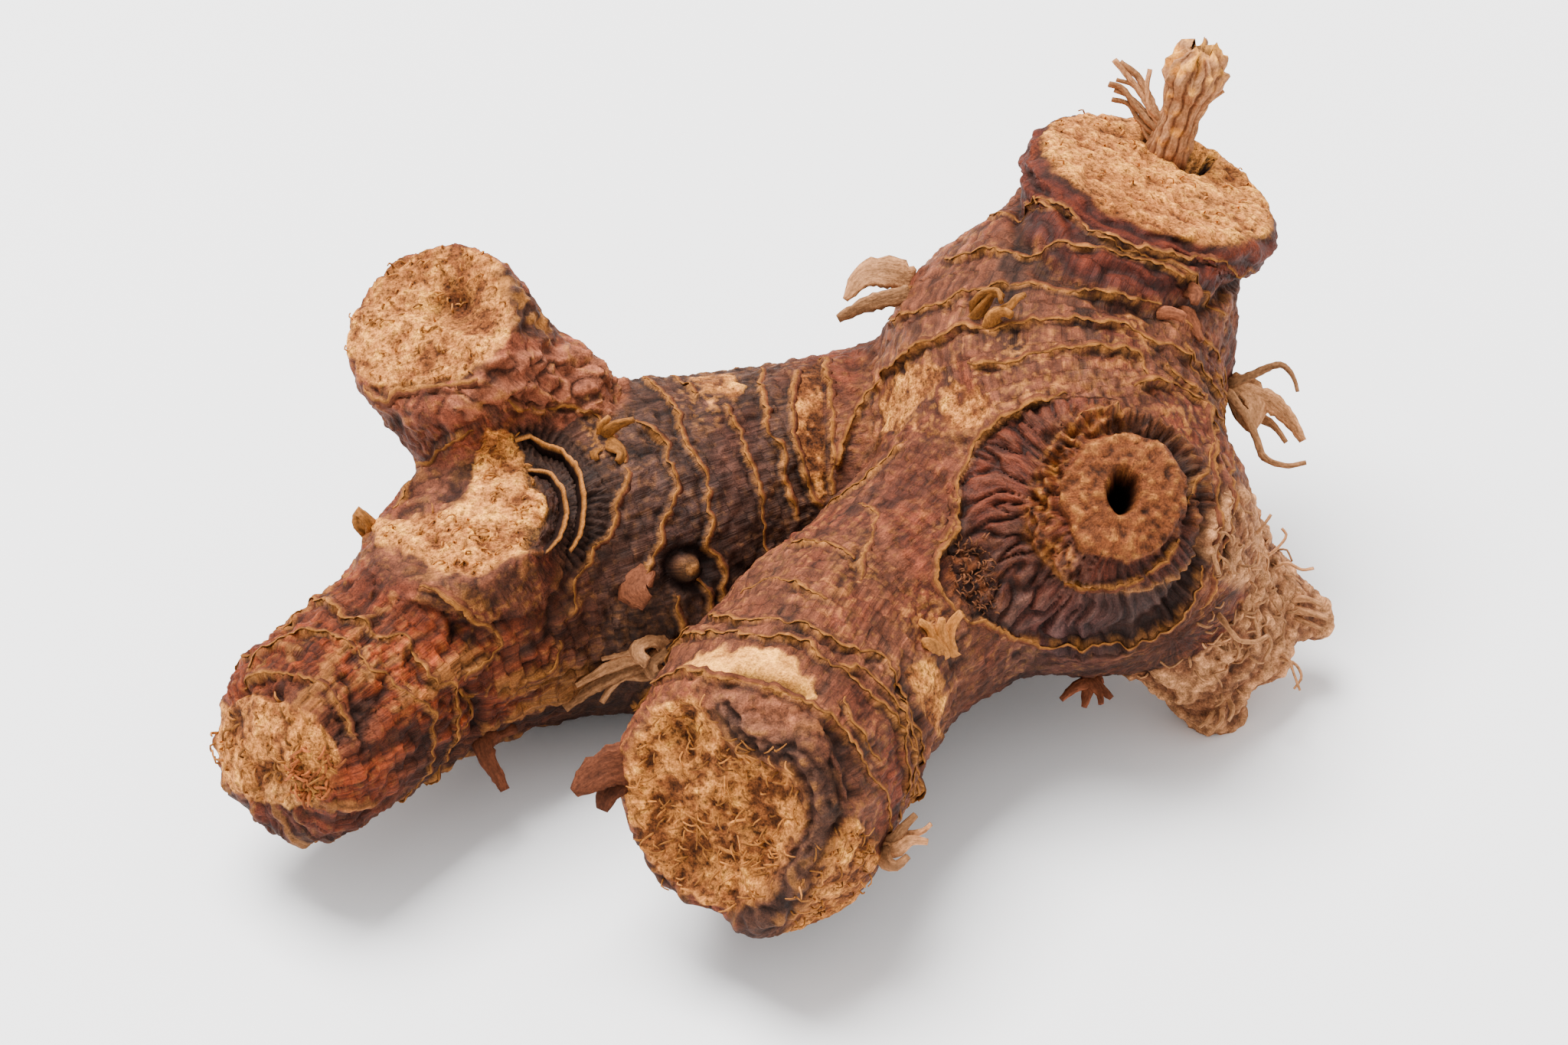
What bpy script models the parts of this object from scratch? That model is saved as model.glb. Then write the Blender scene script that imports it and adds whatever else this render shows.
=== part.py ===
"""A dried galangal root: one branching rhizome with ringed limbs, cut ends, scars and rootlets.

The rhizome grew as one piece, so it is one solid. Its limbs are tubes round a skeleton of
centre lines. The tubes are joined, blended where they meet, and given their relief by formula:
the stepped rings of old leaf sheaths, the ribbed eye of a fallen shoot, and the cut faces.
Rootlets, tufts and flakes are small solids sunk into it and united with it.

Lengths below are in millimetres, X to the right, Y to the back and Z up. The finished mesh is
in metres, with its origin on the surface it lies on, below the middle of its box.
"""

import math
import random

import bmesh
import bpy
import numpy as np
from mathutils import Matrix, Vector

MM = 0.001

# Centre lines of the limbs: x, y, z and radius of each point
TRUNK = (
    (26.8, -7.2, 19.0, 12.4),
    (23.5, -0.2, 21.0, 14.0),
    (23.1, 6.3, 23.5, 14.8),
    (26.0, 10.5, 26.2, 12.8),
    (27.8, 13.9, 29.4, 11.1),
    (30.0, 16.7, 33.0, 10.2),
    (32.4, 19.0, 37.4, 10.7),
    (34.6, 20.2, 43.6, 10.9),
)
FRONT_LIMB = (
    (17.8, -5.9, 18.0, 11.2),
    (13.2, -10.4, 17.0, 10.6),
    (9.0, -15.3, 16.5, 10.2),
    (4.5, -20.7, 16.0, 10.4),
    (0.4, -29.7, 15.6, 11.1),
    (-1.8, -35.0, 16.3, 10.7),
    (-4.0, -39.8, 17.2, 9.8),
    (-6.4, -45.6, 18.2, 8.8),
)
FRONT_TOE = (
    (-0.5, -33.0, 12.0, 8.0),
    (1.6, -40.0, 9.8, 5.2),
    (2.4, -44.6, 8.8, 4.8),
)
LEFT_LIMB = (
    (11.8, 7.7, 15.0, 10.5),
    (2.4, 6.2, 14.0, 10.4),
    (-6.2, 3.1, 13.5, 11.6),
    (-14.1, -1.1, 13.0, 12.9),
    (-21.8, -6.8, 13.4, 11.7),
    (-29.4, -15.7, 13.4, 9.4),
    (-34.9, -23.2, 13.6, 8.5),
    (-38.9, -28.7, 13.8, 7.9),
    (-43.3, -34.9, 14.2, 7.2),
)
KNOB = (
    (-20.8, 2.2, 15.0, 8.8),
    (-23.6, 2.8, 22.0, 8.0),
    (-26.7, 2.0, 28.5, 8.1),
    (-29.6, 1.0, 34.0, 8.0),
    (-32.6, -0.2, 41.0, 7.4),
)
SCAR_STUB = (
    (-22.4, -6.0, 14.0, 8.6),
    (-25.4, -11.0, 19.0, 8.2),
    (-26.9, -13.6, 25.0, 8.0),
    (-27.6, -14.8, 30.0, 7.8),
)
BELLY = (
    (-18.6, -5.2, 9.3, 9.3),
    (-11.6, -5.0, 9.3, 9.3),
)
HEEL = (
    (22.0, 8.0, 16.0, 11.0),
    (18.0, 14.0, 9.0, 9.4),
)
KNOB_HEEL = (
    (-19.0, 2.0, 20.0, 5.0),
    (-18.2, 2.2, 27.2, 3.2),
)
ROOT_LOBE = (
    (29.5, -7.0, 14.0, 6.5),
    (33.2, -8.6, 9.0, 4.6),
    (35.8, -9.4, 4.6, 3.4),
    (37.2, -9.8, 1.4, 2.2),
)
SIDE_LOBE = (
    (30.0, -1.0, 18.0, 7.6),
    (36.6, -3.2, 13.2, 4.7),
    (41.4, -3.8, 9.2, 3.1),
    (45.6, -3.8, 6.4, 1.7),
)
MIDDLE_LOBE = (
    (31.0, -5.0, 14.0, 6.5),
    (36.2, -7.4, 10.0, 4.4),
    (40.6, -7.6, 6.2, 2.6),
)

# Cut faces: a point on the face, the way it looks, and how far its edge is rounded off
STEM_CUT = ((31.3, 17.9, 37.8), (0.316, 0.124, 0.939), 1.2)
FRONT_CUT = ((-4.4, -40.8, 17.0), (-0.38, -0.84, 0.38), 1.6)
FRONT_SIDE_CUT = ((3.4, -43.0, 12.0), (0.42, -0.86, -0.28), 1.6)
LEFT_CUT = ((-42.2, -32.0, 14.8), (-0.62, -0.75, 0.22), 5.0)
KNOB_CUT = ((-29.4, 0.8, 34.6), (-0.36, -0.42, 0.83), 2.0)
SCAR_CUT = ((-26.8, -13.8, 24.0), (-0.20, 0.0, 0.98), 1.6)

LIMBS = {
    "trunk": (TRUNK, (STEM_CUT,)),
    "front": (FRONT_LIMB, (FRONT_CUT, FRONT_SIDE_CUT)),
    "front toe": (FRONT_TOE, (FRONT_SIDE_CUT,)),
    "left": (LEFT_LIMB, (LEFT_CUT,)),
    "knob": (KNOB, (KNOB_CUT,)),
    "scar": (SCAR_STUB, (SCAR_CUT,)),
    "belly": (BELLY, ()),
    "heel": (HEEL, ()),
    "knob heel": (KNOB_HEEL, ()),
    "root lobe": (ROOT_LOBE, ()),
    "side lobe": (SIDE_LOBE, ()),
    "middle lobe": (MIDDLE_LOBE, ()),
}
ROOT_LOBES = ("root lobe", "side lobe", "middle lobe")
BLEND = 3.0

# Rings of each limb: distance along its centre line on top, and how far the ring leans
# towards the limb's far end on the side the turn angle counts as positive
RINGS = {
    "trunk": ((4.0, 0.0), (11.4, 0.0), (13.9, 0.6), (16.2, 2.4), (19.0, 3.4), (22.6, 2.0)),
    "front": ((9.4, 1.6), (14.0, -0.6), (18.3, 0.4), (23.2, -0.6), (27.0, 0.0), (29.4, 0.4),
              (32.2, -0.6), (36.6, 0.0)),
    "left": ((13.2, -1.4), (17.0, -0.6), (20.2, -0.6), (24.8, -1.2), (28.6, -1.4), (32.4, -1.2),
             (37.0, 0.0), (43.0, -1.0), (50.2, 0.0), (57.2, 0.8), (61.4, 1.6)),
    "knob": ((13.0, 1.8), (19.6, 0.4)),
    "scar": (),
}
RING_STEP = 0.8
RING_LIP = 0.3
LIP_WIDTH = 0.8
LEDGE_WIDTH = 0.45
WIDEST_BAND = 7.0

# The eye: the ribbed scar of a shoot on the round near end of the trunk
EYE_PLACE = (24.3, -16.6, 26.7)
EYE_WAY = (-0.10, -0.765, 0.636)
EYE_RADIUS = 10.6
EYE_LIP = 0.8
EYE_CREVICE = 1.3
EYE_RIBS = 30
EYE_RIB_HEIGHT = 0.42
PITH_OFFSET = (2.9, 2.6)
PITH_RADIUS = 5.2
PITH_RISE = 1.1
PITH_HOLE_RADIUS = 1.25
PITH_HOLE_DEPTH = 4.0
FAN_RADIUS = 7.6
FAN_STEP = 0.7

COLLAR_DEPTH = 4.0
COLLAR_BULGE = 1.1
COLLAR_GROOVE = 0.8

HOLLOW_PLACE = (34.2, 25.4, 35.7)
HOLLOW_RADIUS = 2.9
HOLLOW_DEPTH = 5.0

KNOB_PIT = ((-27.7, 2.5, 36.2), 1.6, 1.4)

SADDLE_PLACE = (-27.4, -14.6, 24.2)
SADDLE_DEPTH = 1.7
SADDLE_RADIUS = 7.4
CRESCENT_PLACE = (-25.2, -12.4, 24.6)
CRESCENT_RADIUS = 7.0
CRESCENT_HEIGHT = 1.7

SLICE = ((-2.3, -33.9, 26.0), 5.9, 2.9, 0.9)
TORN_STRIP = ((2.4, 2.4, 22.6), 1.6, 7.5, 0.55)
EYE_POCKET = ((15.6, -19.1, 23.6), 2.2, 1.3)
BUD = ((-8.1, -11.3, 18.0), 1.5, 0.9)
FRONT_CURL = ((3.6, -39.8, 19.6), (1.7, -45.0, 12.8))

LUMPS = ((9.0, 0.50, 1), (4.6, 0.22, 2))
ROOT_LUMPS = ((3.0, 0.8, 5), (1.7, 0.4, 6))
FACE_LUMPS = ((3.2, 0.34, 7), (1.7, 0.18, 8))

VOXEL = 0.45
BODY_TRIANGLES = 8150

# The core strand: from a place in the stem's hollow, along the stem, its radius at each length
CORE_PLACE = (33.4, 23.9, 36.1)
CORE_SIDES = 10
CORE_WAY = (0.26, 0.12, 0.95)
CORE = ((-4.5, 1.6), (0.5, 1.95), (3.6, 1.75), (5.8, 2.0), (7.4, 2.75), (8.8, 2.6), (9.7, 1.3))

# Rootlets and tufts: base, way they grow, number, length, spread, radius, curl
TUFTS = (
    ((-9.0, -26.2, 20.4), (-0.87, -0.30, -0.39), 5, 8.6, 0.14, 0.60, 0.06),
    ((17.9, 0.8, 35.8), (-0.34, -0.33, 0.88), 6, 3.0, 1.10, 0.55, 0.80),
    ((36.0, 1.6, 25.2), (0.90, -0.10, -0.05), 5, 7.6, 0.45, 0.50, 0.30),
    ((12.2, -23.6, 21.6), (0.50, -0.60, 0.30), 5, 3.6, 0.60, 0.55, 0.60),
    ((6.8, -39.8, 13.0), (0.88, -0.30, 0.05), 6, 4.6, 0.50, 0.55, 0.40),
    ((25.2, -16.4, 12.6), (0.05, -0.55, -0.80), 7, 4.2, 0.70, 0.50, 0.25),
    ((-33.0, -9.4, 21.4), (-0.90, 0.00, 0.10), 3, 3.0, 0.40, 0.50, 0.30),
    ((-14.2, -2.8, 25.6), (0.02, -0.12, 0.99), 6, 2.6, 1.60, 0.50, 0.30),
    ((34.6, 24.4, 41.4), (-0.95, 0.10, 0.22), 6, 5.6, 0.40, 0.48, 0.35),
    ((-33.9, -34.0, 12.6), (0.45, -0.80, -0.30), 3, 3.0, 0.60, 0.50, 0.40),
    ((43.0, -5.4, 8.4), (0.70, -0.50, 0.30), 4, 4.0, 0.80, 0.42, 0.70),
    ((38.6, -10.4, 7.0), (0.40, -0.80, 0.20), 4, 3.8, 1.00, 0.42, 0.80),
    ((36.6, -10.6, 20.6), (0.80, -0.50, 0.30), 4, 3.4, 0.90, 0.42, 0.70),
    ((34.6, -11.6, 4.6), (-0.20, -0.90, 0.20), 3, 3.2, 0.90, 0.42, 0.60),
)
TUFT_SIDES = 4
TUFT_STEPS = 2
TUFT_TAPER = 0.08
BLUNT_TIP = 0.5

# The one thick rootlet, bent like a claw
CLAW = ((-21.6, -20.6, 12.4), (-23.4, -22.4, 10.6), (-25.0, -23.2, 8.6), (-24.2, -24.6, 6.4), (-22.9, -25.8, 4.4))
CLAW_RADII = (1.3, 1.2, 1.05, 0.95, 0.7)
CLAW_SIDES = 6

# Splinters standing on the rims of the cut faces: place and way
SPLINTERS = (
    ((30.8, 23.0, 37.6), (-0.10, 0.00, 1.00)),
    ((33.0, 28.6, 36.6), (0.20, 0.30, 0.90)),
    ((37.6, 27.0, 34.8), (0.60, 0.40, 0.70)),
    ((40.2, 23.4, 33.8), (0.80, 0.20, 0.60)),
    ((41.6, 19.6, 33.6), (0.85, 0.10, 0.50)),
    ((24.4, 24.8, 38.6), (-0.30, 0.60, 0.75)),
)
SPLINTER_LENGTH = 2.6
SPLINTER_RADIUS = 0.75

# Bark flakes: base, way, the way across, length, width, bend
FLAKES = (
    ((12.8, 9.4, 32.8), (-0.92, -0.20, 0.16), (0.0, 0.62, 0.78), 6.6, 3.4, 0.5),
    ((11.6, 7.8, 30.8), (-0.90, -0.30, -0.22), (0.0, 0.62, 0.78), 7.2, 3.4, -0.5),
    ((-11.0, -38.0, 17.4), (-0.98, -0.16, 0.02), (0.1, 0.58, 0.80), 6.4, 4.2, 0.5),
    ((-11.2, -12.2, 17.6), (-0.10, -0.80, 0.55), (-0.8, 0.1, -0.4), 3.4, 3.0, 0.7),
    ((-8.6, -30.0, 8.6), (-0.30, -0.50, -0.80), (0.5, -0.7, 0.2), 4.2, 3.2, 0.5),
)
FLAKE_THICKNESS = 0.75

SEED = 11
BARK_COLOUR = (0.27, 0.115, 0.07, 1.0)
BARK_ROUGHNESS = 0.62
SHARP_ANGLE = math.radians(38.0)


def unit(vector):
    """The vector at length one."""
    vector = np.asarray(vector, float)
    return vector / np.linalg.norm(vector)


def curve_through(points, steps=8):
    """A smooth line through the points, with the radius carried along as a fourth value."""
    nodes = np.array(points, float)
    ends = np.vstack([2 * nodes[0] - nodes[1], nodes, 2 * nodes[-1] - nodes[-2]])
    line = []
    for before, start, stop, after in zip(ends, ends[1:], ends[2:], ends[3:]):
        for t in np.linspace(0.0, 1.0, steps, endpoint=False):
            line.append(0.5 * (2 * start + (stop - before) * t
                               + (2 * before - 5 * start + 4 * stop - after) * t ** 2
                               + (3 * start - before - 3 * stop + after) * t ** 3))
    line.append(nodes[-1])
    return np.array(line)


def noise(spots, cell, seed):
    """Smooth lumps of about the given size, from -1 to 1, one value for each spot."""
    grid = spots / cell + 31.7 * seed
    base = np.floor(grid).astype(np.int64)
    part = grid - base
    ease = part ** 3 * (part * (part * 6 - 15) + 10)
    total = np.zeros(len(spots))
    for corner in np.ndindex(2, 2, 2):
        key = (base + corner).astype(np.uint64)
        code = key[:, 0] * np.uint64(73856093) ^ key[:, 1] * np.uint64(19349663)
        code = code ^ key[:, 2] * np.uint64(83492791) ^ np.uint64(seed * 2654435)
        code = (code ^ (code >> np.uint64(13))) * np.uint64(1274126177)
        value = ((code ^ (code >> np.uint64(16))) & np.uint64(65535)).astype(float) / 32767.5 - 1.0
        weight = np.prod(np.where(corner, ease, 1.0 - ease), axis=1)
        total += value * weight
    return total


def lumps(spots, layers):
    """Several sizes of lumps added together."""
    return sum(height * noise(spots, cell, seed) for cell, height, seed in layers)


def smooth_step(low, high, value):
    """0 below low, 1 above high, and an even rise between them."""
    t = np.clip((value - low) / (high - low), 0.0, 1.0)
    return t * t * (3 - 2 * t)


def ridge(distance, width):
    """A rounded ridge of height 1, as wide as given on each side."""
    return np.exp(-(distance / width) ** 2)


def limb_tube(points, cuts):
    """A closed tube round one limb, with a round start and, where it is cut, a flat end."""
    line = curve_through(points, 4)
    data = bpy.data.curves.new("limb", "CURVE")
    data.dimensions = "3D"
    data.bevel_depth = 1.0
    data.bevel_resolution = 6
    data.use_fill_caps = True
    spline = data.splines.new("POLY")
    spline.points.add(len(line) - 1)
    for point, (x, y, z, radius) in zip(spline.points, line):
        point.co = (x, y, z, 1.0)
        point.radius = radius
    limb = bpy.data.objects.new("limb", data)
    bpy.context.collection.objects.link(limb)
    graph = bpy.context.evaluated_depsgraph_get()
    tube = bmesh.new()
    tube.from_mesh(bpy.data.meshes.new_from_object(limb.evaluated_get(graph)))
    bpy.data.objects.remove(limb)
    bmesh.ops.remove_doubles(tube, verts=tube.verts, dist=0.01)
    round_ends = [line[0]] if cuts else [line[0], line[-1]]
    for end in round_ends:
        bmesh.ops.create_icosphere(tube, subdivisions=3, radius=end[3] * 0.995,
                                   matrix=Matrix.Translation(Vector(end[:3])))
    for place, way, _ in cuts:
        everything = tube.verts[:] + tube.edges[:] + tube.faces[:]
        bmesh.ops.bisect_plane(tube, geom=everything, plane_co=place, plane_no=way,
                               clear_outer=True)
        rim = [edge for edge in tube.edges if edge.is_boundary]
        bmesh.ops.contextual_create(tube, geom=rim)
    bmesh.ops.recalc_face_normals(tube, faces=tube.faces)
    return tube


def joined_limbs():
    """The mesh of all limbs, remeshed into one even skin."""
    mesh = bpy.data.meshes.new("limbs")
    whole = bmesh.new()
    for points, cuts in LIMBS.values():
        tube = limb_tube(points, cuts)
        piece = bpy.data.meshes.new("piece")
        tube.to_mesh(piece)
        tube.free()
        whole.from_mesh(piece)
        bpy.data.meshes.remove(piece)
    whole.to_mesh(mesh)
    whole.free()
    body = bpy.data.objects.new("limbs", mesh)
    bpy.context.collection.objects.link(body)
    skin = body.modifiers.new("skin", "REMESH")
    skin.mode = "VOXEL"
    skin.voxel_size = VOXEL
    graph = bpy.context.evaluated_depsgraph_get()
    mesh = bpy.data.meshes.new_from_object(body.evaluated_get(graph))
    bpy.data.objects.remove(body)
    return mesh


def limb_frames(line):
    """Length along the centre line at each of its points, and the up and side ways there."""
    along = np.concatenate([[0.0], np.cumsum(np.linalg.norm(np.diff(line[:, :3], axis=0), axis=1))])
    ahead = np.gradient(line[:, :3], axis=0)
    ahead /= np.linalg.norm(ahead, axis=1)[:, None]
    up = np.array([0.0, 0.0, 1.0]) - ahead[:, 2:3] * ahead
    up /= np.linalg.norm(up, axis=1)[:, None]
    return along, up, np.cross(ahead, up)


def nearest_on_limb(spots, line):
    """For each spot: distance outside the limb, place along it, and the offset from its axis."""
    gap = np.full(len(spots), 1e9)
    along = np.zeros(len(spots))
    offset = np.zeros_like(spots)
    lengths = np.linalg.norm(np.diff(line[:, :3], axis=0), axis=1)
    starts = np.concatenate([[0.0], np.cumsum(lengths)[:-1]])
    for start, stop, length, s in zip(line, line[1:], lengths, starts):
        step = (stop - start)[:3]
        t = np.clip((spots - start[:3]) @ step / length ** 2, 0.0, 1.0)
        away = spots - start[:3] - t[:, None] * step
        here = np.linalg.norm(away, axis=1) - start[3] - t * (stop[3] - start[3])
        closer = here < gap
        gap[closer] = here[closer]
        along[closer] = s + t[closer] * length
        offset[closer] = away[closer]
    return gap, along, offset


def turn_round_limb(line, along, offset):
    """The angle of each spot round its limb, from the top of the limb."""
    lengths, up, side = limb_frames(line)
    up_here = np.stack([np.interp(along, lengths, up[:, axis]) for axis in range(3)], axis=1)
    side_here = np.stack([np.interp(along, lengths, side[:, axis]) for axis in range(3)], axis=1)
    return np.arctan2((offset * side_here).sum(axis=1), (offset * up_here).sum(axis=1))


def mix_towards(first, second, softness):
    """How much the second distance counts where the larger of the two is taken softly."""
    return np.clip(0.5 + 0.5 * (second - first) / softness, 0.0, 1.0)


def body_surface(spots):
    """Distance outside the blended body at each spot, the way out of it, and the limb's data."""
    total = np.full(len(spots), 1e3)
    way_out = np.zeros_like(spots)
    nearest = np.full(len(spots), 1e9)
    owner = np.zeros(len(spots), int)
    place_along = np.zeros(len(spots))
    turn = np.zeros(len(spots))
    below_cut = np.full(len(spots), 1e3)
    for index, (points, cuts) in enumerate(LIMBS.values()):
        line = curve_through(points)
        gap, along, offset = nearest_on_limb(spots, line)
        way = offset / np.maximum(np.linalg.norm(offset, axis=1), 1e-6)[:, None]
        cut_depth = np.full(len(spots), 1e3)
        for place, cut_way, softness in cuts:
            above = (spots - np.array(place)) @ unit(cut_way)
            share = mix_towards(gap, above, softness)
            gap = gap * (1 - share) + above * share + softness * share * (1 - share)
            way = way * (1 - share)[:, None] + unit(cut_way) * share[:, None]
            cut_depth = np.minimum(cut_depth, -above)
        mine = gap < nearest
        nearest[mine] = gap[mine]
        owner[mine] = index
        place_along[mine] = along[mine]
        turn[mine] = turn_round_limb(line, along[mine], offset[mine])
        below_cut[mine] = cut_depth[mine]
        keep = mix_towards(total, gap, BLEND)
        total = gap * (1 - keep) + total * keep - BLEND * keep * (1 - keep)
        way_out = way * (1 - keep)[:, None] + way_out * keep[:, None]
    way_out /= np.maximum(np.linalg.norm(way_out, axis=1), 1e-6)[:, None]
    return total, way_out, owner, place_along, turn, below_cut


def ring_relief(spots, owner, along, turn, below_cut):
    """Steps and lips of the sheath rings, which overlap towards the far end of each limb."""
    height = np.zeros(len(spots))
    for index, name in enumerate(LIMBS):
        rings = RINGS.get(name, ())
        mine = owner == index
        if not rings or not mine.any():
            continue
        waver = 0.6 * noise(spots[mine], 4.4, 20 + index) + 0.2 * noise(spots[mine], 2.0, 30 + index)
        places = np.array([place for place, _ in rings])
        leans = np.array([lean for _, lean in rings])
        here = along[mine][:, None] + waver[:, None] - leans * np.sin(turn[mine])[:, None] - places
        flip = -1.0 if name == "trunk" else 1.0
        here = here * flip
        past = np.where(here >= 0, here, 1e3).min(axis=1)
        ahead = np.where(here < 0, -here, 1e3).min(axis=1)
        pitch = np.minimum(past + ahead, WIDEST_BAND)
        rise = np.clip(past / pitch, 0.0, 1.0) - 0.5
        edge = smooth_step(0.0, LEDGE_WIDTH, ahead)
        lip = RING_LIP * ridge(ahead - LEDGE_WIDTH, LIP_WIDTH)
        fade = smooth_step(0.6, 2.0, below_cut[mine])
        height[mine] = fade * (RING_STEP * rise * edge + lip * edge)
    return height


def eye_relief(spots):
    """The eye's lip, crevice, ribs, fan step, pith and hole, and where skin relief gives way."""
    way = unit(EYE_WAY)
    right = unit(np.cross((0.0, 0.0, 1.0), way))
    up = np.cross(way, right)
    away = spots - np.array(EYE_PLACE)
    x, y, out = away @ right, away @ up, away @ way
    rim = np.hypot(x, y) + 0.35 * noise(spots, 2.4, 40)
    pith = np.hypot(x - PITH_OFFSET[0], y - PITH_OFFSET[1])
    turn = np.arctan2(y - PITH_OFFSET[1], x - PITH_OFFSET[0])
    front = smooth_step(-9.0, -7.0, out)
    inside = smooth_step(-0.2, 0.5, EYE_RADIUS - rim)
    lip = EYE_LIP * ridge(rim - EYE_RADIUS - 0.2, 0.6)
    crevice = EYE_CREVICE * ridge(EYE_RADIUS - rim - 1.0, 0.9) * inside
    ribs = EYE_RIB_HEIGHT * np.cos(EYE_RIBS * turn + 1.6 * noise(spots, 4.0, 41))
    ribs = ribs * inside * smooth_step(PITH_RADIUS, PITH_RADIUS + 1.0, pith)
    fan = FAN_STEP * (1.0 - smooth_step(FAN_RADIUS - 0.3, FAN_RADIUS + 0.3, pith)) * inside
    boss = PITH_RISE * (1.0 - smooth_step(PITH_RADIUS - 1.0, PITH_RADIUS + 0.4, pith))
    groove = 0.7 * ridge(pith - PITH_RADIUS - 0.7, 0.5) * inside
    hole = PITH_HOLE_DEPTH * (1.0 - smooth_step(PITH_HOLE_RADIUS * 0.7, PITH_HOLE_RADIUS * 1.25, pith))
    height = lip - crevice + ribs + fan + boss - groove - hole - 0.4 * inside
    return height * front, inside * front


def patch(spots, place, radius):
    """1 at the place and 0 past the radius, falling evenly."""
    return 1.0 - smooth_step(0.0, radius, np.linalg.norm(spots - np.array(place), axis=1))


def stem_relief(spots, owner, below_cut):
    """The rolled collar under the stem's cut face, and the hollow behind its core."""
    trunk = owner == 0
    collar = COLLAR_BULGE * np.sin(np.pi * np.clip((below_cut - 0.3) / COLLAR_DEPTH, 0.0, 1.0))
    groove = COLLAR_GROOVE * ridge(below_cut - COLLAR_DEPTH - 0.7, 0.6)
    collar_height = np.where(trunk, collar - groove, 0.0)
    away = spots - np.array(HOLLOW_PLACE)
    way = unit(STEM_CUT[1])
    across = np.linalg.norm(away - (away @ way)[:, None] * way, axis=1)
    top = 1.0 - smooth_step(0.4, 1.4, below_cut)
    hollow = HOLLOW_DEPTH * (1.0 - smooth_step(HOLLOW_RADIUS * 0.8, HOLLOW_RADIUS * 1.15, across))
    return collar_height - np.where(trunk, hollow * top, 0.0)


def scar_relief(spots):
    """The hollowed saddle of the side scar, and the ribbed crescent of sheath beside it."""
    dish = SADDLE_DEPTH * patch(spots, SADDLE_PLACE, SADDLE_RADIUS)
    away = spots - np.array(CRESCENT_PLACE)
    around = np.hypot(away[:, 0], away[:, 1])
    turn = np.arctan2(away[:, 1], away[:, 0])
    upper = smooth_step(-7.0, -4.0, away[:, 2])
    side = smooth_step(-0.2, 0.3, np.cos(turn - 0.35)) * upper
    wall = CRESCENT_HEIGHT * ridge(around - CRESCENT_RADIUS, 1.0) * side
    ribs = 0.3 * np.cos(34 * turn) * side * ridge(around - CRESCENT_RADIUS - 2.6, 2.2)
    return wall + ribs - dish


def small_marks(spots):
    """The slice, the torn strip, the pocket by the eye, the pit in the knob and the bud."""
    place, half_across, half_along, depth = SLICE
    away = spots - np.array(place)
    along_way = unit((-0.42, -0.90, 0.0))
    across_way = unit((0.90, -0.42, 0.0))
    oval = np.hypot(away @ across_way / half_across, away @ along_way / half_along)
    height = -depth * (1.0 - smooth_step(0.75, 1.05, oval)) * (np.abs(away[:, 2]) < 4.0)
    place, half_width, half_length, depth = TORN_STRIP
    away = spots - np.array(place)
    oval = np.hypot(away[:, 0] / half_width, np.linalg.norm(away[:, 1:], axis=1) / half_length)
    height -= depth * (1.0 - smooth_step(0.7, 1.0, oval))
    height += 0.5 * ridge(oval - 1.15, 0.2) * (oval < 1.6)
    for (place, radius, depth), sign in ((EYE_POCKET, -1.0), (KNOB_PIT, -1.0), (BUD, 1.0)):
        height += sign * depth * patch(spots, place, radius * 1.5)
    start, stop = (np.array(end) for end in FRONT_CURL)
    step = stop - start
    t = np.clip((spots - start) @ step / (step @ step), 0.0, 1.0)
    curl = np.linalg.norm(spots - start - t[:, None] * step, axis=1)
    height += 1.1 * ridge(curl, 1.0)
    return height


def relief(spots, surface):
    """How far each spot is raised from the smooth body."""
    _, _, owner, along, turn, below_cut = surface
    names = list(LIMBS)
    lobes = np.isin(owner, [names.index(name) for name in ROOT_LOBES])
    on_face = 1.0 - smooth_step(0.2, 1.2, below_cut)
    skin = np.where(lobes, 0.0, 1.0 - on_face)
    eye, in_eye = eye_relief(spots)
    height = lumps(spots, LUMPS)
    height += ring_relief(spots, owner, along, turn, below_cut) * skin * (1.0 - in_eye)
    height += lumps(spots, FACE_LUMPS) * on_face
    height += np.where(lobes, lumps(spots, ROOT_LUMPS), 0.0)
    height += eye
    height += stem_relief(spots, owner, below_cut)
    height += scar_relief(spots)
    height += small_marks(spots)
    return height


def shaped_body():
    """The blended limbs with their relief, lying flat where they touch the surface."""
    mesh = joined_limbs()
    spots = np.empty(len(mesh.vertices) * 3)
    mesh.vertices.foreach_get("co", spots)
    spots = spots.reshape(-1, 3)
    for _ in range(4):
        surface = body_surface(spots)
        spots -= surface[1] * surface[0][:, None]
    surface = body_surface(spots)
    spots += surface[1] * relief(spots, surface)[:, None]
    mesh.vertices.foreach_set("co", spots.ravel())
    mesh.update()
    body = bpy.data.objects.new("rhizome", mesh)
    bpy.context.collection.objects.link(body)
    even = body.modifiers.new("even skin", "REMESH")
    even.mode = "VOXEL"
    even.voxel_size = VOXEL
    apply_modifiers(body)
    thin = body.modifiers.new("fewer faces", "DECIMATE")
    body.data.calc_loop_triangles()
    thin.ratio = BODY_TRIANGLES / len(body.data.loop_triangles)
    thin.use_collapse_triangulate = True
    apply_modifiers(body)
    return body


def lie_flat(body):
    """Cut the body off level where it touches the surface, which leaves its flat spots."""
    shape = bmesh.new()
    shape.from_mesh(body.data)
    everything = shape.verts[:] + shape.edges[:] + shape.faces[:]
    bmesh.ops.bisect_plane(shape, geom=everything, plane_co=(0, 0, 0), plane_no=(0, 0, 1),
                           clear_inner=True)
    bmesh.ops.holes_fill(shape, edges=[edge for edge in shape.edges if edge.is_boundary])
    bmesh.ops.recalc_face_normals(shape, faces=shape.faces)
    shape.to_mesh(body.data)
    shape.free()


def apply_modifiers(thing):
    """Bake the modifiers of an object into its mesh."""
    graph = bpy.context.evaluated_depsgraph_get()
    mesh = bpy.data.meshes.new_from_object(thing.evaluated_get(graph))
    thing.modifiers.clear()
    thing.data = mesh


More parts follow.
